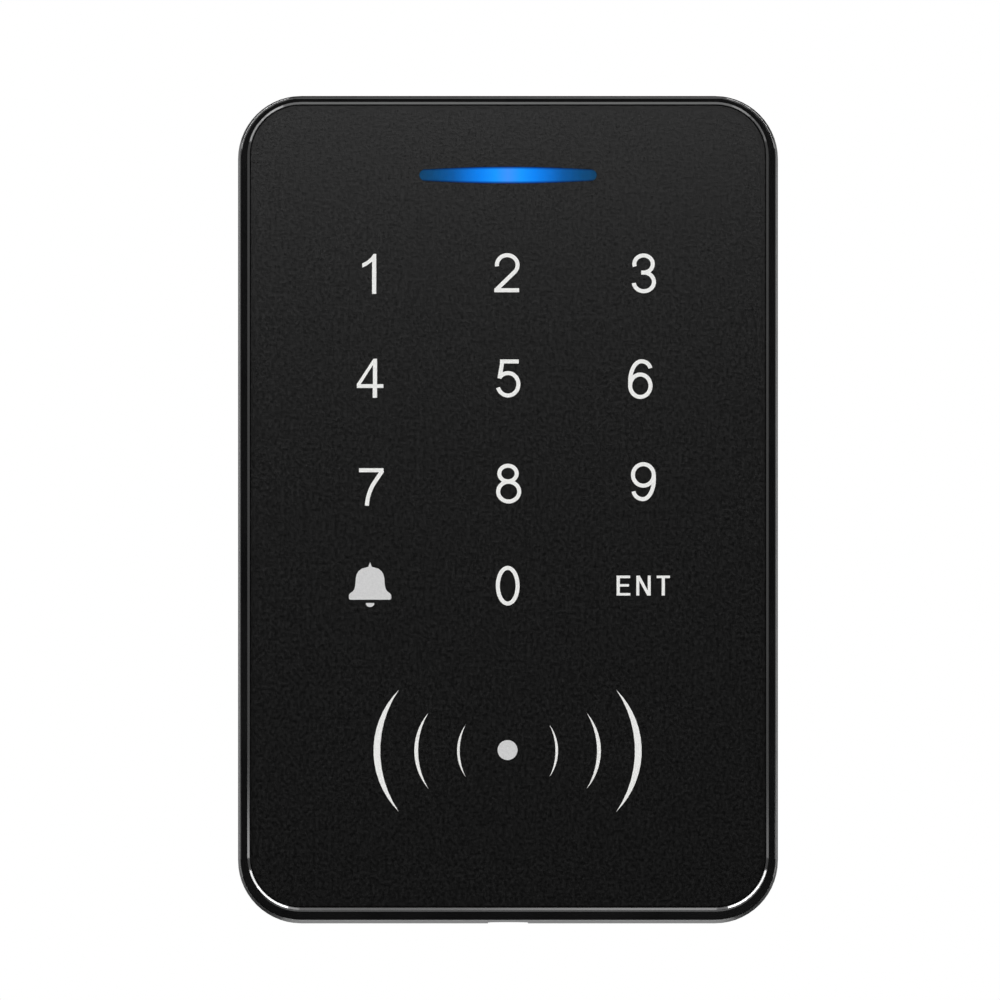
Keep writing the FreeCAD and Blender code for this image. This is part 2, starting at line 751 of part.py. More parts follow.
def make_key_leds():
    """A small lamp behind each key."""
    body = new_body("key_leds")
    lamp = rectangle(draw(body, BOARD_FRONT, "0 - " + KEY_ACROSS, KEY_TOP),
                     "key_light_width", "key_light_height")
    grid(body, [pad(body, lamp, "key_light_depth")], "3", KEY_ACROSS, "4", KEY_UP)
    return body


def make_status_leds():
    """Three lamps behind the light bar."""
    body = new_body("status_leds")
    lamp = rectangle(draw(body, BOARD_FRONT, "0 - status_light_pitch", BAR_UP),
                     "status_light_size", "status_light_size / 2")
    grid(body, [pad(body, lamp, "status_light_depth")], "3", "status_light_pitch")
    return body


def make_antenna_coil():
    """The flat winding that powers and reads a card held near it."""
    body = new_body("antenna_coil")
    outer = rounded(draw(body, BOARD_FRONT, "0", COIL_UP), COIL_WIDTH, "coil_height",
                    "coil_corner")
    pad(body, outer, "coil_thickness")
    inner = rounded(draw(body, BOARD_FRONT, "0", COIL_UP), COIL_WIDTH + " - 2 * coil_band",
                    "coil_height - 2 * coil_band", "coil_corner - coil_band")
    cut(body, inner, "coil_thickness")
    return body


# ---- Main board and what is soldered to it ----

BOARD_TOP = "( " + BOARD_HEIGHT + " / 2 )"
RELAY_UP = "( " + BOARD_TOP + " - relay_drop )"
BUZZER_UP = "( " + BOARD_TOP + " - buzzer_drop )"
INDUCTOR_UP = "( " + BOARD_TOP + " - inductor_drop )"
DIODE_UP = "( " + BOARD_TOP + " - diode_drop )"
READER_CHIP_UP = "( reader_chip_rise - " + BOARD_TOP + " )"
MEMORY_CHIP_UP = "( memory_chip_rise - " + BOARD_TOP + " )"
HEADER_UP = "( header_rise - " + BOARD_TOP + " )"
ROOM_BEHIND = "( " + BOARD_REAR + " - " + COVER_FRONT + " )"
RELAY_DEPTH = "( " + ROOM_BEHIND + " - relay_gap )"
BUZZER_DEPTH = "( " + ROOM_BEHIND + " - buzzer_gap )"


def make_main_board():
    """The circuit board, screwed to the front frame's four lugs."""
    body = new_body("main_board")
    outline = rounded(draw(body, BOARD_REAR), BOARD_WIDTH, BOARD_HEIGHT, "board_corner")
    pad(body, outline, "board_thickness")
    hole = cut(body, circle(draw(body, BOARD_REAR, "0 - " + BOARD_SCREW_ACROSS, BOARD_SCREW_UP),
                            "board_screw_shank + screw_hole_clearance"), "board_thickness")
    grid(body, [hole], "2", "2 * " + BOARD_SCREW_ACROSS, "2", "2 * " + BOARD_SCREW_UP)
    return body


def make_screws(name, seat, shank, reach, head, head_height, across, up, sunk):
    """Four screws that are driven towards the front, with a cross socket in each head."""
    body = new_body(name)
    shaft = pad(body, circle(draw(body, seat, "0 - " + across, up), shank), reach)
    if sunk:
        top = circle(draw(body, seat, "0 - " + across, up), head)
        cap = pad(body, top, head_height)
        cap.setExpression("TaperAngle", rule("-1 * atan( ( " + head + " - " + shank + " ) / "
                                             + head_height + " )"))
        doc.recompute()
        outside = seat
    else:
        outside = seat + " - " + head_height
        cap = pad(body, circle(draw(body, outside, "0 - " + across, up), head), head_height)
    features = [shaft, cap]
    for width, height in (("socket_width * 2", "socket_width / 2"),
                          ("socket_width / 2", "socket_width * 2")):
        bar = rectangle(draw(body, outside, "0 - " + across, up), width, height)
        features.append(cut(body, bar, "socket_depth"))
    grid(body, features, "2", "2 * " + across, "2", "2 * " + up)
    return body


def make_board_screws():
    return make_screws("board_screws", BOARD_REAR, "board_screw_shank",
                       "board_thickness + board_screw_reach", "board_screw_head",
                       "board_screw_head_height", BOARD_SCREW_ACROSS, BOARD_SCREW_UP, False)


def make_cover_screws():
    return make_screws("cover_screws", COVER_REAR, "cover_screw_shank",
                       "cover_thickness + cover_screw_reach", "cover_screw_head",
                       "cover_screw_head_height", POST_ACROSS, POST_UP, True)


def hang(name, depth, width, height, across, up, standoff="0"):
    """A component on the back of the main board, which reaches towards the wall."""
    start = BOARD_REAR + " - " + depth + " - " + standoff
    return block(name, start, depth, width, height, across, up)


def make_lock_relay():
    body = hang("lock_relay", RELAY_DEPTH, "relay_width", "relay_height", "relay_across",
                RELAY_UP)
    soften(body, "Fillet", "lead_width", along_depth)
    return body


def make_buzzer():
    """The sounder: a can with a hole in the middle of its top."""
    start = BOARD_REAR + " - " + BUZZER_DEPTH
    body = disc("buzzer", start, BUZZER_DEPTH, "buzzer_radius", "buzzer_across", BUZZER_UP)
    cut(body, circle(draw(body, start, "buzzer_across", BUZZER_UP), "buzzer_hole"),
        "buzzer_hole_depth")
    return body


def make_power_capacitors():
    """Two cans side by side that smooth the supply."""
    body = disc("power_capacitors", BOARD_REAR + " - capacitor_depth", "capacitor_depth",
                "capacitor_radius", "capacitor_across", "capacitor_up")
    grid(body, [body.Tip], "2", "capacitor_pitch")
    return body


def make_controller_chip():
    body = hang("controller_chip", "controller_depth", "controller_size", "controller_size",
                "controller_across", "controller_up", "chip_standoff")
    soften(body, "Chamfer", "lead_width", along_depth)
    return body


def make_reader_chip():
    return hang("reader_chip", "small_chip_depth", "reader_chip_length", "small_chip_width",
                "reader_chip_across", READER_CHIP_UP, "chip_standoff")


def make_memory_chip():
    return hang("memory_chip", "small_chip_depth", "memory_chip_length", "small_chip_width",
                "memory_chip_across", MEMORY_CHIP_UP, "chip_standoff")


def lead_row(body, across, up, count, pitch, along_x):
    """A row of flat leads that lie on the board, centred on a place."""
    width, height = ("lead_width", "lead_length") if along_x else ("lead_length", "lead_width")
    half = "( " + count + " - 1 ) * " + pitch + " / 2"
    first_across = across + (" - " + half if along_x else "")
    first_up = up + ("" if along_x else " + " + half)
    foot = rectangle(draw(body, BOARD_REAR + " - lead_thickness", first_across, first_up),
                     width, height)
    feature = pad(body, foot, "lead_thickness")
    if along_x:
        grid(body, [feature], count, pitch)
    else:
        grid(body, [feature], "1", "0", count, pitch)


def make_chip_leads():
    """The tinned leads of the three chips."""
    body = new_body("chip_leads")
    beside = "( controller_size + lead_length ) / 2"
    for sign in (" + ", " - "):
        lead_row(body, "controller_across", "controller_up" + sign + beside, "controller_leads",
                 "controller_lead_pitch", True)
        lead_row(body, "controller_across" + sign + beside, "controller_up", "controller_leads",
                 "controller_lead_pitch", False)
    above = "( small_chip_width + lead_length ) / 2"
    for across, up, count in (("reader_chip_across", READER_CHIP_UP, "7"),
                              ("memory_chip_across", MEMORY_CHIP_UP, "4")):
        for sign in (" + ", " - "):
            lead_row(body, across, up + sign + above, count, "small_lead_pitch", True)
    return body


def make_voltage_regulator():
    body = hang("voltage_regulator", "regulator_depth", "regulator_width", "regulator_height",
                "regulator_across", "regulator_up")
    return body


def make_power_inductor():
    body = hang("power_inductor", "inductor_depth", "inductor_size", "inductor_size",
                "inductor_across", INDUCTOR_UP)
    soften(body, "Chamfer", "inductor_size / 6", along_depth)
    return body


def make_crystal():
    body = hang("crystal", "crystal_depth", "crystal_width", "crystal_height", "crystal_across",
                "crystal_up")
    soften(body, "Fillet", "crystal_width / 2.2", along_depth)
    return body


def make_protection_diodes():
    body = hang("protection_diodes", "diode_depth", "diode_width", "diode_height",
                "diode_across", DIODE_UP)
    grid(body, [body.Tip], "3", "diode_pitch")
    return body


def make_small_passives():
    """Chip resistors and capacitors in rows beside the cable entry."""
    body = hang("small_passives", "passive_depth", "passive_width", "passive_height",
                "passive_across - passive_pitch_across", "passive_up")
    grid(body, [body.Tip], "passive_columns", "passive_pitch_across", "passive_rows",
         "passive_pitch_up")
    return body


def make_wire_header():
    """The socket that the connecting cable's plug goes into."""
    length = "( ( header_pins - 1 ) * pin_pitch + 2 * header_end )"
    start = BOARD_REAR + " - header_depth"
    body = block("wire_header", start, "header_depth", length, "header_height", "header_across",
                 HEADER_UP)
    well = rectangle(draw(body, start, "header_across", HEADER_UP),
                     length + " - 2 * header_wall", "header_height - 2 * header_wall")
    cut(body, well, "header_depth - header_floor")
    first = "( header_across - ( header_pins - 1 ) * pin_pitch / 2 )"
    hole = rectangle(draw(body, BOARD_REAR + " - header_floor", first, HEADER_UP),
                     "pin_size + 2 * jumper_clearance", "pin_size + 2 * jumper_clearance")
    grid(body, [cut(body, hole, "header_floor")], "header_pins", "pin_pitch")
    return body


def make_header_pins():
    body = new_body("header_pins")
    first = "( header_across - ( header_pins - 1 ) * pin_pitch / 2 )"
    pin = rectangle(draw(body, BOARD_REAR + " - pin_reach", first, HEADER_UP), "pin_size",
                    "pin_size")
    grid(body, [pad(body, pin, "pin_reach")], "header_pins", "pin_pitch")
    return body


def make_jumper_pins():
    """The two pins that the reset jumper bridges."""
    body = new_body("jumper_pins")
    pin = rectangle(draw(body, BOARD_REAR + " - jumper_pin_reach",
                         "jumper_across - pin_pitch / 2", "jumper_up"), "pin_size", "pin_size")
    grid(body, [pad(body, pin, "jumper_pin_reach")], "2", "pin_pitch")
    return body


def make_jumper_base():
    """The plastic strip that holds the jumper's pins."""
    body = block("jumper_base", BOARD_REAR + " - jumper_base", "jumper_base",
                 "jumper_cap_width", "jumper_cap_height", "jumper_across", "jumper_up")
    add_pin_holes(body, BOARD_REAR + " - jumper_base", "jumper_base")
    return body


def make_reset_jumper():
    """The push-on cap that restores the factory code."""
    start = BOARD_REAR + " - jumper_base - jumper_cap_depth"
    body = block("reset_jumper", start, "jumper_cap_depth", "jumper_cap_width",
                 "jumper_cap_height", "jumper_across", "jumper_up")
    add_pin_holes(body, BOARD_REAR + " - jumper_pin_reach - jumper_clearance",
                  "jumper_pin_reach + jumper_clearance - jumper_base")
    return body


def add_pin_holes(body, start, length):
    """Two square holes round the jumper's pins."""
    side = "pin_size + 2 * jumper_clearance"
    hole = rectangle(draw(body, start, "jumper_across - pin_pitch / 2", "jumper_up"), side, side)
    grid(body, [cut(body, hole, length)], "2", "pin_pitch")


# ---- Tamper switch ----

SWITCH_REAR = "( " + BOARD_REAR + " - switch_depth )"
PLUNGER_TIP = "( plate_thickness + plunger_gap )"
PLUNGER_INNER = "( " + SWITCH_REAR + " + plunger_seat )"
SPRING_SOLID = "( ( spring_turns + 1 ) * spring_wire + 2 * spring_gap )"
BORE_END = "( " + PLUNGER_INNER + " + plunger_travel + " + SPRING_SOLID + " )"


def make_tamper_switch():
    """The housing of the switch that feels whether the head is on its plate."""
    body = block("tamper_switch", SWITCH_REAR, "switch_depth", "switch_size", "switch_size",
                 "tamper_across", "tamper_up")
    cut(body, circle(draw(body, SWITCH_REAR, "tamper_across", "tamper_up"),
                     "plunger_radius + plunger_clearance"), BORE_END + " - " + SWITCH_REAR)
    return body


def make_tamper_plunger():
    """The sprung plunger, with a rounded tip just off the wall plate."""
    body = disc("tamper_plunger", PLUNGER_TIP, PLUNGER_INNER + " - " + PLUNGER_TIP,
                "plunger_radius", "tamper_across", "tamper_up")
    soften(body, "Fillet", "plunger_radius / 2", at_level(PLUNGER_TIP))
    return body


def make_tamper_spring():
    """The coil spring that pushes the plunger out."""
    wire = size("spring_wire") / 2
    start = size(PLUNGER_INNER) + size("spring_gap") + wire
    end = size(BORE_END) - size("spring_gap") - wire
    turns = size("spring_turns")
    helix = Part.makeHelix((end - start) / turns, end - start, size("spring_radius"))
    section = Part.Wire(Part.makeCircle(wire, FreeCAD.Vector(size("spring_radius"), 0, 0),
                                        FreeCAD.Vector(0, 1, 0)))
    coil = Part.Wire(helix).makePipeShell([section], True, True)
    spring = doc.addObject("Part::Feature", "tamper_spring")
    spring.Shape = coil
    middle = FreeCAD.Vector(size("tamper_across"), -start, size("tamper_up"))
    turn = FreeCAD.Rotation(FreeCAD.Vector(1, 0, 0), 90)
    spring.Placement = FreeCAD.Placement(middle, turn)
    spring.Label = "tamper_spring"
    bodies.append(spring)
    return spring


# ---- Back of the head ----

def make_back_cover():
    """The cover that closes the head, notched for the hooks and the screw's lug."""
    body = new_body("back_cover")
    outline = rounded(draw(body, COVER_REAR), RECESS_WIDTH + " - 2 * cover_clearance",
                      RECESS_HEIGHT + " - 2 * cover_clearance",
                      "corner_radius - rear_wall - cover_clearance")
    pad(body, outline, "cover_thickness")
    cut_hook_notches(body, COVER_REAR, "cover_thickness")
    cut_lug_notch(body, COVER_REAR, "cover_thickness")
    cut(body, circle(draw(body, COVER_REAR, "cable_across", "cable_up"),
                     "grommet_neck + jumper_clearance"), "cover_thickness")
    cut(body, circle(draw(body, COVER_REAR, "tamper_across", "tamper_up"), "plunger_hole"),
        "cover_thickness")
    vent = cut(body, circle(draw(body, COVER_REAR, "buzzer_across - vent_pitch",
                                 BUZZER_UP + " + vent_pitch"), "vent_radius"), "cover_thickness")
    grid(body, [vent], "3", "vent_pitch", "3", "vent_pitch")
    hole = cut(body, circle(draw(body, COVER_REAR, "0 - " + POST_ACROSS, POST_UP),
                            "cover_screw_shank + screw_hole_clearance"), "cover_thickness")
    sink = cut(body, circle(draw(body, COVER_REAR, "0 - " + POST_ACROSS, POST_UP),
                            "cover_screw_head + thread_clearance"), "cover_screw_head_height")
    sink.setExpression("TaperAngle", rule("-1 * atan( ( cover_screw_head - cover_screw_shank )"
                                          " / cover_screw_head_height )"))
    doc.recompute()
    grid(body, [hole, sink], "2", "2 * " + POST_ACROSS, "2", "2 * " + POST_UP)
    return body


def cut_hook_notches(body, level, length):
    """Room for the wall plate's two hooks in the top edge."""
    top = "( body_height / 2 )"
    bottom = "( " + HINGE_UP + " - hook_foot_drop - notch_clearance )"
    notch = rectangle(draw(body, level, "0 - hook_across", "( " + top + " + " + bottom + " ) / 2"),
                      "hook_width + 2 * notch_clearance", top + " - " + bottom)
    mirror(body, [cut(body, notch, length)])


def cut_lug_notch(body, level, length):
    """Room for the wall plate's lug and the screw's seat in the bottom edge."""
    top = "( " + LUG_TOP + " + notch_clearance )"
    bottom = "( 0 - body_height / 2 )"
    notch = rectangle(draw(body, level, "0", "( " + top + " + " + bottom + " ) / 2"),
                      "lug_width + 2 * notch_clearance", top + " - " + bottom)
    cut(body, notch, length)


def make_cover_gasket():
    """The soft ring pressed between the back cover and the front frame's seat."""
    body = new_body("cover_gasket")
    length = "seat_level - " + COVER_FRONT
    outer = rounded(draw(body, COVER_FRONT), RECESS_WIDTH + " - 2 * gasket_inset",
                    RECESS_HEIGHT + " - 2 * gasket_inset",
                    "corner_radius - rear_wall - gasket_inset")
    pad(body, outer, length)
    inner = rounded(draw(body, COVER_FRONT), HALL_WIDTH + " + 2 * gasket_inset",
                    HALL_HEIGHT + " + 2 * gasket_inset",
                    "corner_radius - side_wall + gasket_inset - gasket_corner_ease")
    cut(body, inner, length)
    cut_hook_notches(body, COVER_FRONT, length)
    cut_lug_notch(body, COVER_FRONT, length)
    return body


def make_cable_grommet():
    """The rubber ring in the back cover that the cable passes through."""
    place = ("cable_across", "cable_up")
    start = COVER_REAR + " - grommet_rear_flange"
    body = disc("cable_grommet", start, "grommet_rear_flange", "grommet_flange", *place)
    pad(body, circle(draw(body, COVER_REAR, *place), "grommet_neck"), "cover_thickness")
    pad(body, circle(draw(body, COVER_FRONT, *place), "grommet_flange"), "grommet_front_flange")
    cut(body, circle(draw(body, start, *place), "cable_bore"),
        "grommet_rear_flange + cover_thickness + grommet_front_flange")
    return body


# ---- Wall plate ----

def make_wall_plate():
    """The plate that is screwed to the wall, with two hooks above and a lug below."""
    body = new_body("wall_plate")
    width = "( " + RECESS_WIDTH + " - 2 * plate_side_gap )"
    height = "( " + RECESS_HEIGHT + " - plate_top_gap - plate_bottom_gap )"
    middle = "( ( plate_bottom_gap - plate_top_gap ) / 2 )"
    outline = rounded(draw(body, "0", "0", middle), width, height,
                      "corner_radius - rear_wall - plate_side_gap")
    pad(body, outline, "plate_thickness")
    cut(body, circle(draw(body, "0", "cable_across", "cable_up"), "cable_opening"),
        "plate_thickness")
    place = ("0 - wall_hole_across / 2", "wall_hole_up / 2")
    hole = cut(body, circle(draw(body, "0", *place), "wall_hole_radius"), "plate_thickness")
    sink_depth = "( wall_hole_sink - wall_hole_radius )"
    sink = cut(body, circle(draw(body, "plate_thickness - " + sink_depth, *place),
                            "wall_hole_radius"), sink_depth)
    sink.TaperAngle = 45
    doc.recompute()
    grid(body, [hole, sink], "2", "wall_hole_across", "2", "wall_hole_up")
    box_hole = cut(body, slot(draw(body, "0", "0 - box_hole_across / 2"), "box_hole_length",
                              "2 * wall_hole_radius"), "plate_thickness")
    grid(body, [box_hole], "2", "box_hole_across")
    add_hooks(body)
    add_lug(body)
    return body


def add_hooks(body):
    """Arms that stand off the plate and end in a round nose on the hinge line."""
    arm_front = "( hinge_level + hook_arm / 2 )"
    foot_top = "( " + HINGE_UP + " - hook_foot_drop + hook_foot_height )"
    foot = pad(body, rectangle(draw(body, "plate_thickness / 2", "0 - hook_across",
                                    foot_top + " - hook_foot_height / 2"),
                               "hook_width", "hook_foot_height"),
               arm_front + " - plate_thickness / 2")
    arm = pad(body, rectangle(draw(body, "hinge_level - hook_arm / 2", "0 - hook_across",
                                   HINGE_UP + " - hook_foot_drop / 2"),
                              "hook_width", "hook_foot_drop"), "hook_arm")
    nose = pad(body, circle(draw_across(body, "hinge_level", HINGE_UP,
                                        "0 - hook_across - hook_width / 2"), "hook_radius"),
               "hook_width")
    mirror(body, [foot, arm, nose])


def add_lug(body):
    """The lug at the bottom, bored upwards for the insert, over a notch for the screw's seat."""
    bottom = "( " + LUG_TOP + " - lug_height )"
    edge = "( 0 - body_height / 2 )"
    notch = rectangle(draw(body, "0", "0", "( " + edge + " + " + bottom + " ) / 2"),
                      SEAT_WIDTH + " + 2 * notch_clearance", bottom + " - " + edge)
    cut(body, notch, "plate_thickness")
    block_shape = rectangle(draw(body, "plate_thickness / 2", "0", bottom + " + lug_height / 2"),
                            "lug_width", "lug_height")
    pad(body, block_shape, "lug_reach - plate_thickness / 2")
    cut(body, circle(draw_upward(body, bottom, "0", "lock_level"), "insert_radius"),
        "insert_length")


def make_bracket_insert():
    """The brass bush in the lug, which the security screw turns in."""
    body = new_body("bracket_insert")
    bottom = "( " + LUG_TOP + " - lug_height )"
    pad(body, circle(draw_upward(body, bottom, "0", "lock_level"), "insert_radius"),
        "insert_length")
    cut(body, circle(draw_upward(body, bottom, "0", "lock_level"),
                     "lock_shank + thread_clearance"), "insert_length")
    return body


def make_security_screw():
    """The screw up through the bottom wall, with a six-sided socket in its head."""
    body = new_body("security_screw")
    head_top = "( 0 - body_height / 2 + rear_wall - lock_seat_gap )"
    pad(body, circle(draw_upward(body, head_top + " - lock_head_height", "0", "lock_level"),
                     "lock_head"), "lock_head_height")
    pad(body, circle(draw_upward(body, head_top, "0", "lock_level"), "lock_shank"), "lock_length")
    cut(body, hexagon(draw_upward(body, head_top + " - lock_head_height", "0", "lock_level"),
                      "socket_width"), "lock_head_height / 2")
    return body


def hexagon(sketch, radius):
    """A regular six-sided outline about the sketch's centre."""
    first = sketch.GeometryCount
    reach = size(radius)
    points = [FreeCAD.Vector(reach * math.cos(math.pi / 3 * side),
                             reach * math.sin(math.pi / 3 * side), 0) for side in range(6)]
    for side in range(6):
        sketch.addGeometry(Part.LineSegment(points[side], points[(side + 1) % 6]), False)
    guide = sketch.addGeometry(Part.Circle(FreeCAD.Vector(), FreeCAD.Vector(0, 0, 1), reach), True)
    sketch.addConstraint(Sketcher.Constraint("Coincident", guide, 3, -1, 1))
    join_ends(sketch, first, 6, "Coincident")
    for side in range(6):
        sketch.addConstraint(Sketcher.Constraint("PointOnObject", first + side, 1, guide))
    for side in range(1, 6):
        sketch.addConstraint(Sketcher.Constraint("Equal", first, first + side))
    sketch.addConstraint(Sketcher.Constraint("PointOnObject", first, 1, -1))
    bound(sketch, "Radius", guide, radius)
    return sketch


make_front_frame()
make_touch_panel()
make_panel_tape()
make_diffuser_film()
make_light_bar()
make_light_shield()
make_touch_pads()
make_key_leds()
make_status_leds()
make_antenna_coil()
make_main_board()
make_board_screws()
make_controller_chip()
make_reader_chip()
make_memory_chip()
make_chip_leads()
make_lock_relay()
make_buzzer()
make_power_capacitors()
make_voltage_regulator()
make_power_inductor()
make_crystal()
make_protection_diodes()
make_small_passives()
make_wire_header()
make_header_pins()
make_jumper_pins()
make_jumper_base()
make_reset_jumper()
make_tamper_switch()
make_tamper_plunger()
make_tamper_spring()
make_back_cover()
make_cover_gasket()
make_cover_screws()
make_cable_grommet()
make_wall_plate()
make_bracket_insert()
make_security_screw()
doc.recompute()


def check(document):
    """Stops the build if a feature failed, a piece is broken or a pocket cut nothing."""
    for item in document.Objects:
        if "Invalid" in item.State or "Error" in item.State:
            raise RuntimeError("%s failed: %s" % (item.Name, item.State))
        if item.TypeId == "PartDesign::Pocket":
            before = item.BaseFeature.Shape.Volume
            if item.Shape.Volume > before - 1e-6:
                raise RuntimeError("%s cuts nothing in %s" % (item.Name, item.getParent().Label))
    for body in bodies:
        if body.Shape.isNull() or not body.Shape.isValid():
            raise RuntimeError("%s has no valid shape" % body.Label)


check(doc)
os.makedirs("parts", exist_ok=True)
for body in bodies:
    body.Shape.exportStep("parts/%s.step" % body.Label)
    print("%-20s %2d solids %9.2f mm3" % (body.Label, len(body.Shape.Solids), body.Shape.Volume))
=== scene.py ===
import math
import bmesh
import bpy
from mathutils import Matrix, Vector


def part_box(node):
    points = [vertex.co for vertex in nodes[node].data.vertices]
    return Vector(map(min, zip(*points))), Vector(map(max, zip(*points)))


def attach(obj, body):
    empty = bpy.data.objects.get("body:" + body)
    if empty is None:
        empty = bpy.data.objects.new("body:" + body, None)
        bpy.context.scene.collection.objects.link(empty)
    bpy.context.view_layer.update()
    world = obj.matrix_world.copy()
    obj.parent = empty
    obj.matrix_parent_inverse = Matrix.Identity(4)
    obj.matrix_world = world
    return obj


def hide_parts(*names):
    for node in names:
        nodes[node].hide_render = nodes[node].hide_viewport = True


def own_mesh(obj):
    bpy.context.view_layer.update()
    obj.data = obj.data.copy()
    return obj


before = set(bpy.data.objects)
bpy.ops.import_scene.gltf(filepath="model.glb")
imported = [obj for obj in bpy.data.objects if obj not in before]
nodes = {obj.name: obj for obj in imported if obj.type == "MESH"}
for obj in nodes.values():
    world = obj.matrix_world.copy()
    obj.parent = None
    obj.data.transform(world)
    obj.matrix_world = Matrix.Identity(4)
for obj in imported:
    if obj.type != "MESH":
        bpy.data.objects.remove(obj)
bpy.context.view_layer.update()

# ---- Wall plate -------------------------------------------------------------
# The flat plate that is screwed to the wall first. Black ABS, injection moulded
# in a spark-eroded tool, which leaves a fine even grain all over it. The reader's
# back cover is moulded in the same way.


def shader_of(made):
    """The one shader of a material."""
    return made.node_tree.nodes["Principled BSDF"]


def new_finish(name, **even):
    """A material. Values that are the same all over go straight on its shader."""
    made = bpy.data.materials.new(name)
    made.use_nodes = True
    for socket, value in even.items():
        shader_of(made).inputs[socket.replace("_", " ")].default_value = value
    return made


def place_on(made, turn=(0, 0, 0), stretch=(1, 1, 1), centre=(0, 0, 0)):
    """Where a pattern lies on the piece: its Object coordinates, centred, turned and stretched."""
    where = made.node_tree.nodes.new("ShaderNodeTexCoord")
    lie = made.node_tree.nodes.new("ShaderNodeMapping")
    lie.inputs["Location"].default_value = tuple(-c for c in centre)
    lie.inputs["Rotation"].default_value = turn
    lie.inputs["Scale"].default_value = stretch
    made.node_tree.links.new(where.outputs["Object"], lie.inputs["Vector"])
    return lie.outputs["Vector"]


def grain(made, size, detail=3.0, lie=None):
    """A cloudy grain whose spots are about that size, in metres."""
    spots = made.node_tree.nodes.new("ShaderNodeTexNoise")
    spots.inputs["Scale"].default_value = 1 / size
    spots.inputs["Detail"].default_value = detail
    made.node_tree.links.new(lie or place_on(made), spots.inputs["Vector"])
    return spots.outputs["Fac"]


# Nearly all of a grain lies between these two values.
GRAIN_SPAN = (0.3, 0.7)


def colours_along(made, pattern, *stops):
    """Colours that follow one another as the pattern rises, each after its place from 0 to 1."""
    ramp = made.node_tree.nodes.new("ShaderNodeValToRGB")
    marks = ramp.color_ramp.elements
    for mark, (place, colour) in zip(marks, (stops[0], stops[-1])):
        mark.position = place
        mark.color = (*colour, 1)
    for place, colour in stops[1:-1]:
        marks.new(place).color = (*colour, 1)
    made.node_tree.links.new(pattern, ramp.inputs["Fac"])
    return ramp.outputs["Color"]


def tint(made, pattern, dark, light, span=GRAIN_SPAN):
    """The colour goes from dark to light as the pattern goes through the span."""
    colour = colours_along(made, pattern, (span[0], dark), (span[1], light))
    made.node_tree.links.new(colour, shader_of(made).inputs["Base Color"])


def spread(made, pattern, start, end, low=0.0, high=1.0):
    """Goes from low to high as the pattern goes from start to end."""
    run = made.node_tree.nodes.new("ShaderNodeMapRange")
    for socket, value in (("From Min", start), ("From Max", end), ("To Min", low), ("To Max", high)):
        run.inputs[socket].default_value = value
    made.node_tree.links.new(pattern, run.inputs["Value"])
    return run.outputs["Result"]


def sheen_by(made, pattern, smooth, rough):
    """The roughness goes from smooth to rough with the pattern."""
    roughness = spread(made, pattern, *GRAIN_SPAN, smooth, rough)
    made.node_tree.links.new(roughness, shader_of(made).inputs["Roughness"])


def relief(made, pattern, height, under=None):
    """Raises the surface by that height, in metres, where the pattern is light."""
    bump = made.node_tree.nodes.new("ShaderNodeBump")
    bump.inputs["Strength"].default_value = 1.0
    bump.inputs["Distance"].default_value = height
    made.node_tree.links.new(pattern, bump.inputs["Height"])
    if under:
        made.node_tree.links.new(under, bump.inputs["Normal"])
    made.node_tree.links.new(bump.outputs["Normal"], shader_of(made).inputs["Normal"])


def soft_edges(made, radius):
    """The slight round that moulding leaves on every edge, for the light only."""
    edge = made.node_tree.nodes.new("ShaderNodeBevel")
    edge.samples = 4
    edge.inputs["Radius"].default_value = radius
    return edge.outputs["Normal"]


def dress(finish, *names):
    """Gives CAD nodes their finish, in every slot that they have."""
    for name in names:
        for slot in nodes[name].material_slots:
            slot.material = finish


SPARK_SIZE = 0.0003
SPARK_DEPTH = 0.000036
MOULDED_EDGE = 0.00025

moulded_black = new_finish("moulded_black", IOR=1.53)
tint(moulded_black, grain(moulded_black, 0.004), (0.017, 0.017, 0.018), (0.025, 0.025, 0.026),
     (0.35, 0.65))
spark_grain = grain(moulded_black, SPARK_SIZE, 2.0)
sheen_by(moulded_black, spark_grain, 0.40, 0.58)
relief(moulded_black, spark_grain, SPARK_DEPTH, soft_edges(moulded_black, MOULDED_EDGE))
dress(moulded_black, "wall_plate", "back_cover")

# ---- Threaded insert --------------------------------------------------------
# A turned and knurled brass bush, pressed hot into the lug of the wall plate.
# The security screw bites into it.
turned_brass = new_finish("turned_brass", Metallic=1.0)
lathe_lines = grain(turned_brass, 0.0001, 1.0, place_on(turned_brass, stretch=(0.2, 0.2, 1)))
tint(turned_brass, grain(turned_brass, 0.0008), (0.60, 0.40, 0.15), (0.78, 0.58, 0.27))
sheen_by(turned_brass, lathe_lines, 0.2, 0.4)
relief(turned_brass, lathe_lines, 0.00001)
dress(turned_brass, "bracket_insert")

# ---- Security screw ---------------------------------------------------------
# The screw that locks the reader to its wall plate from below. Hardened steel,
# zinc plated and passivated black, a little cloudy.
black_zinc = new_finish("black_zinc", Metallic=1.0)
tint(black_zinc, grain(black_zinc, 0.0006), (0.10, 0.10, 0.11), (0.30, 0.30, 0.31),
     (0.35, 0.7))
sheen_by(black_zinc, grain(black_zinc, 0.0003), 0.28, 0.45)
relief(black_zinc, grain(black_zinc, 0.0002), 0.00001)
dress(black_zinc, "security_screw")

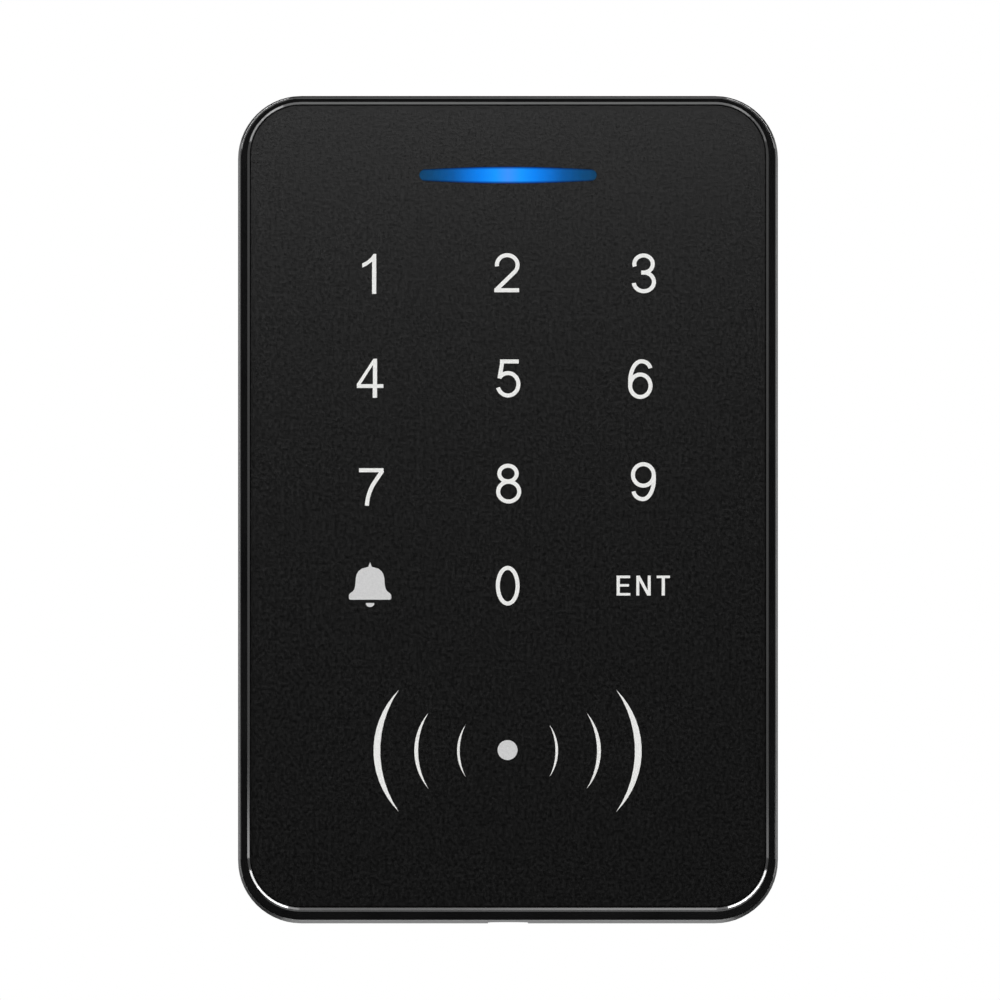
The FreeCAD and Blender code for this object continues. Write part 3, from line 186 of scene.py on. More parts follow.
# ---- Grommet and gasket -----------------------------------------------------
# The cable grommet is pushed into the back cover, and the gasket is pressed
# between the cover and the front frame. Soft moulded rubber, dull and dusty.
soft_rubber = new_finish("soft_rubber", IOR=1.5, Sheen_Weight=0.15, Sheen_Roughness=0.5)
tint(soft_rubber, grain(soft_rubber, 0.002), (0.018, 0.018, 0.018), (0.040, 0.039, 0.037),
     (0.35, 0.75))
sheen_by(soft_rubber, grain(soft_rubber, 0.0006), 0.62, 0.85)
relief(soft_rubber, grain(soft_rubber, 0.0002), 0.00003)
dress(soft_rubber, "cable_grommet", "cover_gasket")

# ---- Steel screws -----------------------------------------------------------
# Pan-head screws hold the board and the back cover. Steel, zinc plated, with
# the faint cloudy tint of the passivation.
zinc_plate = new_finish("zinc_plate", Metallic=1.0)
tint(zinc_plate, grain(zinc_plate, 0.0012), (0.50, 0.50, 0.52), (0.72, 0.71, 0.66))
sheen_by(zinc_plate, grain(zinc_plate, 0.0004), 0.22, 0.42)
relief(zinc_plate, grain(zinc_plate, 0.00025), 0.00001)
dress(zinc_plate, "board_screws", "cover_screws")

# ---- Front frame ------------------------------------------------------------
# The deep front shell of the reader. Black ABS: its walls have a fine dull grain,
# a little smoother underneath. The narrow rim round the touch panel is polished
# and softly rounded.
RIM_DEPTH = 0.0005
RIM_FADE = 0.0001
RIM_ROUND = 0.0002
REAR_ROUND = 0.0003
POLISHED = 0.09
SATIN = 0.42
DULL = 0.60
SATIN_HIGH = 0.003
SATIN_LOW = 0.001
MID_GRAIN = 0.5

shell_black = new_finish("shell_black", IOR=1.5)
front_low, front_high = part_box("front_frame")


def along_axis(made, axis, start, end):
    """Runs from 0 to 1 between two places along one axis of the piece."""
    split = made.node_tree.nodes.new("ShaderNodeSeparateXYZ")
    made.node_tree.links.new(place_on(made), split.inputs["Vector"])
    return spread(made, split.outputs[axis], start, end)


def blend_values(made, share, first, second):
    """One pattern where share is 0, the other where it is 1."""
    blend = made.node_tree.nodes.new("ShaderNodeMix")
    blend.data_type = "FLOAT"
    for socket, value in (("A", first), ("B", second)):
        if isinstance(value, float):
            blend.inputs[socket].default_value = value
        else:
            made.node_tree.links.new(value, blend.inputs[socket])
    made.node_tree.links.new(share, blend.inputs["Factor"])
    return blend.outputs["Result"]


tint(shell_black, grain(shell_black, 0.01), (0.0060, 0.0060, 0.0062), (0.0090, 0.0090, 0.0091))
rim_end = front_low.y + RIM_DEPTH
side_wall = along_axis(shell_black, "Y", rim_end, rim_end + RIM_FADE)
shell_grain = grain(shell_black, SPARK_SIZE, 2.0)
underside = along_axis(shell_black, "Z", front_low.z + SATIN_HIGH, front_low.z + SATIN_LOW)
wall_roughness = blend_values(shell_black, underside, DULL, SATIN)
roughness = blend_values(shell_black, side_wall, POLISHED, wall_roughness)
shell_black.node_tree.links.new(roughness, shader_of(shell_black).inputs["Roughness"])
relief(shell_black, blend_values(shell_black, side_wall, MID_GRAIN, shell_grain), SPARK_DEPTH)

TOUCHING = 0.000001
FLAT = math.radians(0.5)
CREASE = math.radians(30)
SHARP = math.radians(32)


def merged_copy(name):
    """A CAD node's mesh as one closed skin."""
    bm = bmesh.new()
    bm.from_mesh(nodes[name].data)
    bmesh.ops.remove_doubles(bm, verts=bm.verts, dist=TOUCHING)
    return bm


def creases_at(bm, *levels):
    """The sharp edges that lie in the upright planes at those levels of Y."""
    return [edge for edge in bm.edges if edge.calc_face_angle(0) > CREASE
            and any(all(abs(v.co.y - level) < 2 * TOUCHING for v in edge.verts) for level in levels)]


def round_over(bm, edges, radius, segments):
    """Rounds those edges to that radius."""
    bmesh.ops.bevel(bm, geom=edges, offset=radius, offset_type="OFFSET", affect="EDGES",
                    segments=segments, profile=0.5, material=-1, clamp_overlap=True)


def make_piece(name, bm, finish):
    """A piece made from its mesh, in its finish."""
    mesh = bpy.data.meshes.new(name)
    bm.to_mesh(mesh)
    bm.free()
    mesh.materials.append(finish)
    piece = bpy.data.objects.new(name, mesh)
    bpy.context.scene.collection.objects.link(piece)
    return piece


def finish_piece(name, bm, finish, body):
    """Makes a piece in its finish, that rides on that body."""
    piece = make_piece(name, bm, finish)
    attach(piece, body)
    return piece


def shade_round(piece, angle):
    """Smooth across the shallow edges, crisp at the sharp ones, and level on the large flat faces."""
    piece.data.shade_smooth()
    piece.data.set_sharp_from_angle(angle=angle)
    level = piece.modifiers.new("level_faces", "WEIGHTED_NORMAL")
    level.keep_sharp = True


shell = merged_copy("front_frame")
bmesh.ops.dissolve_limit(shell, angle_limit=FLAT, verts=shell.verts, edges=shell.edges)
panel_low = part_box("touch_panel")[0]
round_over(shell, creases_at(shell, front_low.y, panel_low.y), RIM_ROUND, 6)
round_over(shell, creases_at(shell, front_high.y), REAR_ROUND, 3)
shell_piece = finish_piece("frame_shell", shell, shell_black, "reader_head")
shade_round(shell_piece, SHARP)
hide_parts("front_frame")

# ---- Touch panel ------------------------------------------------------------
# One flat sheet of black acrylic with a satin hard coat on its face, whose fine
# grain scatters the light. A ring of black foam tape sticks it to the frame.
satin_panel = new_finish("satin_panel", IOR=1.49)
coat_grain = grain(satin_panel, 0.00045, 1.5)
tint(satin_panel, coat_grain, (0.0004, 0.0004, 0.0004), (0.0010, 0.0010, 0.0010))
sheen_by(satin_panel, coat_grain, 0.28, 0.39)
relief(satin_panel, coat_grain, 0.000012)
dress(satin_panel, "touch_panel")

foam_tape = new_finish("foam_tape", IOR=1.45)
tint(foam_tape, grain(foam_tape, 0.0004), (0.012, 0.012, 0.012), (0.04, 0.04, 0.04))
sheen_by(foam_tape, grain(foam_tape, 0.0005), 0.7, 0.95)
relief(foam_tape, grain(foam_tape, 0.0003), 0.00006)
dress(foam_tape, "panel_tape")

# ---- Printed legends --------------------------------------------------------
# The figures, the bell, the enter key's word and the card waves are printed on
# the panel's face in white and pale grey ink, two hundredths of a millimetre thick.
INK = 0.00002
LAYER = 0.000003
STROKE = 0.00057
TRIM = 0.00005


def screen_ink(name, dark, light):
    """Screen-printed ink, with the faint grain that the mesh leaves."""
    ink = new_finish(name, IOR=1.45)
    tint(ink, grain(ink, 0.0003), dark, light)
    sheen_by(ink, grain(ink, 0.0004), 0.45, 0.6)
    relief(ink, grain(ink, 0.00012), 0.000008)
    return ink


white_ink = screen_ink("white_ink", (0.90, 0.90, 0.88), (0.97, 0.97, 0.95))
grey_ink = screen_ink("grey_ink", (0.66, 0.66, 0.66), (0.74, 0.74, 0.74))

lamps_low, lamps_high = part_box("key_leds")
FACE = panel_low.y
LAMP_HALF = (0.0008, 0.0004)
column = [lamps_low.x + LAMP_HALF[0], 0.0, lamps_high.x - LAMP_HALF[0]]
top_row = lamps_high.z - LAMP_HALF[1]
bottom_row = lamps_low.z + LAMP_HALF[1]
row = [top_row + (bottom_row - top_row) * k / 3 for k in range(4)]
ARC_STEP = 6


def arc(centre, radii, start, end):
    """Points, in millimetres, along an ellipse from one angle to another."""
    steps = max(2, round(abs(end - start) / ARC_STEP))
    turns = [math.radians(start + (end - start) * k / steps) for k in range(steps + 1)]
    return [(centre[0] + radii[0] * math.cos(t), centre[1] + radii[1] * math.sin(t)) for t in turns]


def flat_curve(lines, closed=True, fill="BOTH", trim=0.0):
    """Lines or outlines, in millimetres, as one flat curve that is as thick as the ink."""
    curve = bpy.data.curves.new("legend_curve", "CURVE")
    curve.dimensions = "2D"
    curve.fill_mode = fill
    curve.offset = -trim
    curve.extrude = INK / 2
    for points in lines:
        spline = curve.splines.new("POLY")
        spline.points.add(len(points) - 1)
        for point, (across, up) in zip(spline.points, points):
            point.co = (across / 1000, up / 1000, 0, 1)
        spline.use_cyclic_u = closed
    return curve


def add_ink(bm, curve, across, up, proud=0.0):
    """Lays a flat curve on the panel's face, round that place."""
    holder = bpy.data.objects.new("legend_curve", curve)
    bpy.context.scene.collection.objects.link(holder)
    mesh = bpy.data.meshes.new_from_object(holder)
    bpy.data.objects.remove(holder)
    bpy.data.curves.remove(curve)
    stands = Matrix.Rotation(math.pi / 2, 4, "X")
    mesh.transform(Matrix.Translation((across, FACE - INK / 2 - proud, up)) @ stands)
    bm.from_mesh(mesh)
    bpy.data.meshes.remove(mesh)


def print_piece(name, bm, ink):
    """A printed piece of crisp flat faces, riding on the panel."""
    for face in bm.faces:
        face.smooth = False
    return finish_piece(name, bm, ink, "reader_head")


# Each figure's column and row, and the middle lines of its strokes.
FIGURES = {
    "2": (1, 0, [arc((-0.11, 1.37), (1.47, 1.41), 187, -42) + [(-1.62, -2.1)],
                 [(-1.95, -2.22), (1.58, -2.22)]]),
    "3": (2, 0, [arc((-0.17, 1.52), (1.31, 1.22), 197, -90) + [(-0.5, 0.3)],
                 arc((-0.13, -1.03), (1.44, 1.33), 90, -173)]),
    "5": (1, 1, [arc((0.0, -0.83), (1.48, 1.6), 146, -163), [(-0.8, 2.42), (-1.21, 0.0)],
                 [(-1.14, 2.42), (1.53, 2.42)]]),
    "6": (2, 1, [arc((-0.63, -1.04), (1.45, 1.6), 0, 360)[:-1],
                 arc((-0.47, -0.46), (1.61, 2.91), 190, 90) + arc((-0.47, 1.18), (1.31, 1.27), 84, 13)]),
    "7": (0, 2, [[(-1.74, 1.71), (1.75, 1.71)],
                 [(1.6, 1.66), (0.41, -0.1)] + arc((4.39, -3.76), (5.03, 5.99), 146, 176)]),
    "8": (1, 2, [arc((0.0, 1.24), (1.24, 1.11), 0, 360)[:-1],
                 arc((0.1, -1.34), (1.5, 1.4), 0, 360)[:-1]]),
    "9": (2, 2, [arc((-0.2, 1.04), (1.48, 1.53), 0, 360)[:-1],
                 arc((-0.26, 0.51), (1.57, 2.92), 10, -90) + arc((-0.26, -1.13), (1.35, 1.28), -96, -172)]),
    "0": (1, 3, [arc((-0.04, 0.04), (1.41, 2.54), 0, 360)[:-1]]),
}
# A line whose ends come this near, in millimetres, is closed.
CLOSES = 0.3
strokes = bmesh.new()
for place_x, place_z, lines in FIGURES.values():
    for layer, points in enumerate(lines):
        closed = math.dist(points[0], points[-1]) < CLOSES
        line = flat_curve([points], closed, fill="NONE")
        add_ink(strokes, line, column[place_x], row[place_z], layer * LAYER)
figures = print_piece("legend_strokes", strokes, white_ink)
width = figures.modifiers.new("stroke_width", "SOLIDIFY")
width.thickness = STROKE
width.offset = 0.0
width.use_even_offset = True

ONE = [(0.07, -2.79), (0.76, -2.79), (0.76, 3.01), (0.31, 3.01), (-0.1, 2.45), (-0.67, 1.97),
       (-1.33, 1.61), (-1.33, 0.93), (-0.67, 1.23), (0.07, 1.77)]
FOUR = [(0.16, -2.81), (0.88, -2.81), (0.88, -1.4), (1.78, -1.4), (1.78, -0.77), (0.88, -0.77),
        (0.88, 2.85), (0.29, 2.85), (-2.11, -0.8), (-2.11, -1.4), (0.16, -1.4)]
FOUR_EYE = [(0.19, -0.77), (-1.43, -0.77), (0.19, 1.74)]
BELL_MIDDLE = -0.17
BELL_SIDE = [(-0.4, 2.75), (-0.74, 2.64), (-1.35, 2.47), (-1.8, 2.12), (-2.07, 1.67), (-2.2, 1.17),
             (-2.25, 0.47), (-2.3, -0.03), (-2.4, -0.43), (-2.65, -0.78), (-3.0, -1.03),
             (-3.17, -1.25), (-3.2, -1.63), (-3.14, -1.88), (-2.95, -1.95)]
bell = [(BELL_MIDDLE, 3.41)] + BELL_SIDE + [(2 * BELL_MIDDLE - x, z) for x, z in reversed(BELL_SIDE)]
clapper = [(-0.77, -2.42)] + arc((BELL_MIDDLE, -2.5), (0.6, 0.5), 180, 360) + [(0.43, -2.42)]
LETTER_E = [(-4.06, 1.53), (-2.04, 1.53), (-2.04, 1.07), (-3.5, 1.07), (-3.5, 0.32), (-2.2, 0.32),
            (-2.2, -0.13), (-3.5, -0.13), (-3.5, -0.95), (-2.0, -0.95), (-2.0, -1.41), (-4.06, -1.41)]
LETTER_N = [(-1.25, 1.53), (-0.68, 1.53), (0.38, -0.42), (0.38, 1.53), (0.9, 1.53), (0.9, -1.41),
            (0.33, -1.41), (-0.73, 0.52), (-0.73, -1.41), (-1.25, -1.41)]
LETTER_T = [(1.65, 1.53), (3.64, 1.53), (3.64, 1.07), (2.92, 1.07), (2.92, -1.41), (2.37, -1.41),
            (2.37, 1.07), (1.65, 1.07)]
# Each filled shape's column and row, and its outlines.
SHAPES = [(0, 0, [ONE]), (0, 1, [FOUR, FOUR_EYE]), (2, 3, [LETTER_E]), (2, 3, [LETTER_N]),
          (2, 3, [LETTER_T])]
shapes = bmesh.new()
for place_x, place_z, outlines in SHAPES:
    add_ink(shapes, flat_curve(outlines, trim=TRIM), column[place_x], row[place_z])
signs = bmesh.new()
add_ink(signs, flat_curve([bell]), column[0], row[3])
add_ink(signs, flat_curve([clapper]), column[0], row[3])

# Each wave's bulge, thickness, tips and half height, in millimetres from the dot.
WAVES = [(19.12, 0.95, 15.5, 8.7), (13.3, 0.53, 11.3, 5.4), (7.2, 0.36, 6.0, 3.7)]
WAVE_SHIFT = -0.00006
DOT_RADIUS = 1.42
DOT_UP = 0.1
coil_low, coil_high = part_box("antenna_coil")
coil_up = (coil_low.z + coil_high.z) / 2


def bow(tip, bulge, reach):
    """Points on the circle through two tips, one above the other, and the bulge between them."""
    sag = bulge - tip
    radius = (sag * sag + reach * reach) / (2 * sag)
    half = math.degrees(math.asin(reach / radius))
    return arc((bulge - radius, 0), (radius, radius), half, -half)


for bulge, thick, tip, reach in WAVES:
    crescent = bow(tip, bulge, reach) + bow(tip, bulge - thick, reach)[-2:0:-1]
    for side in (1, -1):
        wave = flat_curve([[(side * x, z) for x, z in crescent]])
        add_ink(shapes, wave, WAVE_SHIFT, coil_up)
dot = arc((0, DOT_UP), (DOT_RADIUS, DOT_RADIUS), 0, 360)[:-1]
add_ink(signs, flat_curve([dot]), WAVE_SHIFT, coil_up)
print_piece("legend_shapes", shapes, white_ink)
print_piece("legend_signs", signs, grey_ink)

# ---- Light bar --------------------------------------------------------------
# A bowed strip of clear diffusing acrylic, flush with the panel. Three blue
# lamps behind it light it, brightest in the middle and dark at its ends.
lit_bar = new_finish("lit_bar", IOR=1.49, Specular_IOR_Level=0.1, Emission_Strength=1.0)
bar_low, bar_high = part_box("light_bar")
BAR_HALF = 0.0126
BAR_TALL = 0.00115
BAR_BOW = 0.00035
FROM_THE_MIDDLE = [(0.0, (0.045, 0.285, 0.97)), (0.14, (0.006, 0.30, 1.0)), (0.30, (0.001, 0.22, 0.88)),
                   (0.45, (0.001, 0.155, 0.62)), (0.62, (0.001, 0.085, 0.31)),
                   (0.80, (0.001, 0.057, 0.17)), (1.0, (0.003, 0.036, 0.075))]
TO_THE_EDGE = [(0.68, (1, 1, 1)), (1.0, (0.02, 0.06, 0.16))]


def work_out(made, operation, first, second=None, third=None):
    """One step of arithmetic on a pattern."""
    step = made.node_tree.nodes.new("ShaderNodeMath")
    step.operation = operation
    for socket, value in zip(step.inputs, (first, second, third)):
        if isinstance(value, float):
            socket.default_value = value
        elif value is not None:
            made.node_tree.links.new(value, socket)
    return step.outputs["Value"]


bar_place = place_on(lit_bar, centre=(0, 0, (bar_low.z + bar_high.z) / 2))
split = lit_bar.node_tree.nodes.new("ShaderNodeSeparateXYZ")
lit_bar.node_tree.links.new(bar_place, split.inputs["Vector"])
along = work_out(lit_bar, "DIVIDE", work_out(lit_bar, "ABSOLUTE", split.outputs["X"]), BAR_HALF)
bowed = work_out(lit_bar, "MULTIPLY_ADD", work_out(lit_bar, "POWER", along, 2.0), -BAR_BOW, BAR_TALL)
beside = work_out(lit_bar, "DIVIDE", work_out(lit_bar, "ABSOLUTE", split.outputs["Z"]), bowed)
dimmed = lit_bar.node_tree.nodes.new("ShaderNodeMix")
dimmed.data_type = "RGBA"
dimmed.blend_type = "MULTIPLY"
dimmed.inputs["Factor"].default_value = 1.0
lit_bar.node_tree.links.new(colours_along(lit_bar, along, *FROM_THE_MIDDLE), dimmed.inputs["A"])
lit_bar.node_tree.links.new(colours_along(lit_bar, beside, *TO_THE_EDGE), dimmed.inputs["B"])
lit_bar.node_tree.links.new(dimmed.outputs["Result"], shader_of(lit_bar).inputs["Emission Color"])
tint(lit_bar, grain(lit_bar, 0.0008), (0.0, 0.01, 0.04), (0.0, 0.02, 0.08))
sheen_by(lit_bar, grain(lit_bar, 0.0005), 0.3, 0.4)
dress(lit_bar, "light_bar")

# ---- Diffuser film and light shield -----------------------------------------
# A thin milky film spreads the light behind the legends. The white nylon grid
# behind it keeps each key's light in its own cell. The wire header is nylon too.
milky_film = new_finish("milky_film", IOR=1.5)
tint(milky_film, grain(milky_film, 0.003), (0.70, 0.70, 0.68), (0.80, 0.80, 0.78))
sheen_by(milky_film, grain(milky_film, 0.0006), 0.35, 0.5)
dress(milky_film, "diffuser_film")

NYLON_EDGE = 0.00015
white_nylon = new_finish("white_nylon", IOR=1.53, Subsurface_Weight=0.1)
tint(white_nylon, grain(white_nylon, 0.003), (0.68, 0.67, 0.63), (0.78, 0.78, 0.75))
sheen_by(white_nylon, grain(white_nylon, 0.0005), 0.45, 0.6)
relief(white_nylon, grain(white_nylon, 0.0003), 0.00002, soft_edges(white_nylon, NYLON_EDGE))
dress(white_nylon, "light_shield", "wire_header")

# ---- Touch pads, lamps and coil ---------------------------------------------
# Rings of conductive foam carry each key's touch to the board, with a lamp in
# each ring. The flat coil of enamelled wire behind the card waves reads the cards.
foam_ring = new_finish("foam_ring", IOR=1.4)
tint(foam_ring, grain(foam_ring, 0.0003), (0.02, 0.02, 0.022), (0.075, 0.075, 0.08))
sheen_by(foam_ring, grain(foam_ring, 0.0004), 0.75, 0.95)
relief(foam_ring, grain(foam_ring, 0.0002), 0.00008)
dress(foam_ring, "touch_pads")

lamp_body = new_finish("lamp_body", IOR=1.5)
tint(lamp_body, grain(lamp_body, 0.0007), (0.80, 0.66, 0.25), (0.86, 0.84, 0.76),
     (0.4, 0.6))
sheen_by(lamp_body, grain(lamp_body, 0.0004), 0.25, 0.4)
dress(lamp_body, "key_leds", "status_leds")

enamelled_wire = new_finish("enamelled_wire", Metallic=0.9)
tint(enamelled_wire, grain(enamelled_wire, 0.0007), (0.45, 0.16, 0.05), (0.80, 0.36, 0.16))
sheen_by(enamelled_wire, grain(enamelled_wire, 0.0004), 0.2, 0.35)
WIRE_PITCH = 0.0004
WIRE_RISE = 0.00006
COIL_CORNER = 0.008


def place_step(made, operation, first, second=(0, 0, 0)):
    """One step of arithmetic on a place."""
    step = made.node_tree.nodes.new("ShaderNodeVectorMath")
    step.operation = operation
    made.node_tree.links.new(first, step.inputs[0])
    step.inputs[1].default_value = second
    return step.outputs["Value" if operation == "LENGTH" else "Vector"]


coil_place = place_on(enamelled_wire, centre=(coil_low + coil_high) / 2)
coil_half = (coil_high - coil_low) / 2
straight = (coil_half.x - COIL_CORNER, 1, coil_half.z - COIL_CORNER)
from_middle = place_step(enamelled_wire, "ABSOLUTE", coil_place)
past_straight = place_step(enamelled_wire, "SUBTRACT", from_middle, straight)
outwards = place_step(enamelled_wire, "LENGTH", place_step(enamelled_wire, "MAXIMUM", past_straight))
windings = work_out(enamelled_wire, "MULTIPLY", outwards, 2 * math.pi / WIRE_PITCH)
relief(enamelled_wire, work_out(enamelled_wire, "SINE", windings), WIRE_RISE)
dress(enamelled_wire, "antenna_coil")

# ---- Circuit board and its parts --------------------------------------------
# Glass-epoxy board under green solder mask, screwed to posts in the frame, with
# copper tracks raised under the mask. Chips, relay, cans and pins are soldered on.
solder_mask = new_finish("solder_mask", IOR=1.55, Coat_Weight=0.4, Coat_Roughness=0.15)
TRACK_RISE = 0.00003
TRACKS = {"Scale": 1000.0, "Mortar Size": 0.13, "Mortar Smooth": 0.1, "Brick Width": 8.5,
          "Row Height": 0.95}
tracks = solder_mask.node_tree.nodes.new("ShaderNodeTexBrick")
tracks.offset = 0.37
tracks.squash = 0.6
tracks.squash_frequency = 3
for socket, value in TRACKS.items():
    tracks.inputs[socket].default_value = value
board_place = place_on(solder_mask, turn=(math.pi / 2, 0, math.pi / 2))
solder_mask.node_tree.links.new(board_place, tracks.inputs["Vector"])
tint(solder_mask, tracks.outputs["Fac"], (0.006, 0.085, 0.030), (0.016, 0.17, 0.065))
relief(solder_mask, tracks.outputs["Fac"], TRACK_RISE)
sheen_by(solder_mask, grain(solder_mask, 0.002), 0.25, 0.4)
dress(solder_mask, "main_board")

moulded_epoxy = new_finish("moulded_epoxy", IOR=1.55)
tint(moulded_epoxy, grain(moulded_epoxy, 0.0004), (0.018, 0.018, 0.019), (0.034, 0.034, 0.035))
sheen_by(moulded_epoxy, grain(moulded_epoxy, 0.0006), 0.4, 0.6)
relief(moulded_epoxy, grain(moulded_epoxy, 0.00015), 0.00001)
dress(moulded_epoxy, "controller_chip", "reader_chip", "memory_chip", "voltage_regulator",
      "protection_diodes", "jumper_base", "tamper_switch", "buzzer")

tinned = new_finish("tinned", Metallic=1.0)
tint(tinned, grain(tinned, 0.0006), (0.60, 0.60, 0.58), (0.78, 0.78, 0.76))
sheen_by(tinned, grain(tinned, 0.0003), 0.2, 0.4)
dress(tinned, "chip_leads", "header_pins", "crystal")

relay_blue = new_finish("relay_blue", IOR=1.5)
tint(relay_blue, grain(relay_blue, 0.003), (0.015, 0.055, 0.22), (0.025, 0.085, 0.32))
sheen_by(relay_blue, grain(relay_blue, 0.0008), 0.3, 0.45)
dress(relay_blue, "lock_relay")

drawn_can = new_finish("drawn_can", Metallic=1.0)
tint(drawn_can, grain(drawn_can, 0.001), (0.62, 0.62, 0.63), (0.78, 0.78, 0.79))
sheen_by(drawn_can, grain(drawn_can, 0.0004, lie=place_on(drawn_can, stretch=(1, 0.1, 1))), 0.22, 0.4)
dress(drawn_can, "power_capacitors")

fired_ferrite = new_finish("fired_ferrite", IOR=1.6)
tint(fired_ferrite, grain(fired_ferrite, 0.0003), (0.035, 0.035, 0.038), (0.08, 0.08, 0.085))
sheen_by(fired_ferrite, grain(fired_ferrite, 0.0004), 0.5, 0.75)
dress(fired_ferrite, "power_inductor")

ceramic = new_finish("ceramic", IOR=1.6)
tint(ceramic, grain(ceramic, 0.0005), (0.36, 0.25, 0.15), (0.52, 0.40, 0.27))
sheen_by(ceramic, grain(ceramic, 0.0003), 0.35, 0.55)
dress(ceramic, "small_passives")

gold_flash = new_finish("gold_flash", Metallic=1.0)
tint(gold_flash, grain(gold_flash, 0.0005), (0.72, 0.50, 0.17), (0.86, 0.66, 0.30))
sheen_by(gold_flash, grain(gold_flash, 0.0003), 0.18, 0.32)
dress(gold_flash, "jumper_pins")

blue_nylon = new_finish("blue_nylon", IOR=1.5)
tint(blue_nylon, grain(blue_nylon, 0.001), (0.02, 0.07, 0.36), (0.035, 0.12, 0.52))
sheen_by(blue_nylon, grain(blue_nylon, 0.0004), 0.35, 0.5)
dress(blue_nylon, "reset_jumper")

# ---- Tamper plunger and spring ----------------------------------------------
# The white acetal plunger looks out of the back cover and rests on the wall.
# A coil of bright spring wire pushes it out, so that lifting the reader shows.
spring_wire = new_finish("spring_wire", Metallic=1.0)
tint(spring_wire, grain(spring_wire, 0.0004), (0.45, 0.45, 0.46), (0.62, 0.62, 0.62))
sheen_by(spring_wire, grain(spring_wire, 0.0002), 0.18, 0.34)
dress(spring_wire, "tamper_spring")
spring = finish_piece("plunger_spring", merged_copy("tamper_spring"), spring_wire, "reader_head")
shade_round(spring, SHARP)
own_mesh(spring)
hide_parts("tamper_spring")

acetal = new_finish("acetal", IOR=1.48, Subsurface_Weight=0.15)
tint(acetal, grain(acetal, 0.001), (0.70, 0.70, 0.67), (0.80, 0.80, 0.78))
sheen_by(acetal, grain(acetal, 0.0004), 0.3, 0.45)
dress(acetal, "tamper_plunger")

# ---- The room ---------------------------------------------------------------
# A plain white room: a low pale floor takes the shadow, and soft lamps stand
# above, below and behind. Dark cards and hoods keep the gloss black between them.
LAMPS_AIM_AT = (0, -0.02, 0)
LEVEL_AHEAD = 0.1
BROAD = (0.8, 0.8)
LONG = (0.45, 0.24)
LOW_RING = (0.30, -0.126)
CORNER_RING = (0.78, -0.25)
SMALL = (0.31, 0.14)
SLIM = (0.18, 0.06)


def lamp(name, place, size, strength, aim=LAMPS_AIM_AT, gloss_only=False, shade_only=False):
    """A soft lamp that looks white at a strength of 1.

    Its first size runs round the reader, or level on a lamp straight ahead.
    """
    data = bpy.data.lights.new(name, "AREA")
    data.shape = "RECTANGLE"
    data.size, data.size_y = size
    data.energy = strength * math.pi * size[0] * size[1]
    made = bpy.data.objects.new(name, data)
    bpy.context.scene.collection.objects.link(made)
    back = (Vector(place) - Vector(aim)).normalized()
    across = Vector((0, 1, 0)).cross(back)
    across = across.normalized() if across.length > LEVEL_AHEAD else Vector((1, 0, 0))
    turn = Matrix((across, back.cross(across), back)).transposed().to_4x4()
    made.matrix_world = Matrix.Translation(place) @ turn
    made.visible_camera = False
    made.visible_diffuse = not gloss_only
    made.visible_glossy = not shade_only


def on_ring(turn, reach, level):
    """A place on a ring round the reader, that many degrees up from its right, at that level of Y."""
    angle = math.radians(turn)
    return reach * math.cos(angle), level, reach * math.sin(angle)


lamp("key_lamp", (-0.35, -1.1, 0.75), BROAD, 2.8, shade_only=True)
lamp("fill_lamp", (0.5, -1.1, -0.1), BROAD, 1.0, shade_only=True)
lamp("back_lamp", (-0.9, 1.1, 1.0), BROAD, 3.0)
TOP_ASIDE = 0.226
for side, x, strength in (("right", TOP_ASIDE, 6.2), ("left", -TOP_ASIDE, 2.8)):
    lamp(f"{side}_top_lamp", (x, -0.30, 1.0), LONG, strength, aim=(x, -0.02, 0))
for side, way, strength in (("right", 1, 6.5), ("left", -1, 2.5)):
    for turn in (24, 56):
        x, y, z = on_ring(-turn, *LOW_RING)
        lamp(f"{side}_low_lamp_{turn}", (way * x, y, z), SLIM, strength, gloss_only=True)
lamp("low_lamp", (0, -0.115, -0.27), (0.5, 0.09), 3.1, gloss_only=True)
for turn, right, left in ((24, 22, 24), (45, 26, 32), (66, 30, 36)):
    x, y, z = on_ring(turn, *CORNER_RING)
    lamp(f"right_corner_lamp_{turn}", (x, y, z), SMALL, right, gloss_only=True)
    lamp(f"left_corner_lamp_{turn}", (-x, y, z), SMALL, left, gloss_only=True)
lamp("panel_lamp", (-0.20, -0.27, 0.20), (0.6, 0.24), 2.25, aim=(-0.20, 0, 0.20), gloss_only=True)

dark_card = new_finish("dark_card", Roughness=1.0, Specular_IOR_Level=0.0)
tint(dark_card, grain(dark_card, 0.05), (0.002, 0.002, 0.002), (0.004, 0.004, 0.004))


def put_card(name, bm):
    """A dark card of the room. Only the gloss on the reader shows it."""
    made = make_piece(name, bm, dark_card)
    made.visible_camera = False
    made.visible_diffuse = False
    made.visible_shadow = False


# The card behind the camera.
CARD_HALF = (1.2, 2.0)
CARD_LEVEL = -0.5
card = bmesh.new()
bmesh.ops.create_grid(card, x_segments=1, y_segments=1, size=1.0)
bmesh.ops.scale(card, verts=card.verts, vec=(*CARD_HALF, 1))
bmesh.ops.rotate(card, verts=card.verts, matrix=Matrix.Rotation(math.pi / 2, 3, "X"))
bmesh.ops.translate(card, verts=card.verts, vec=(0, CARD_LEVEL, 0))
put_card("front_card", card)

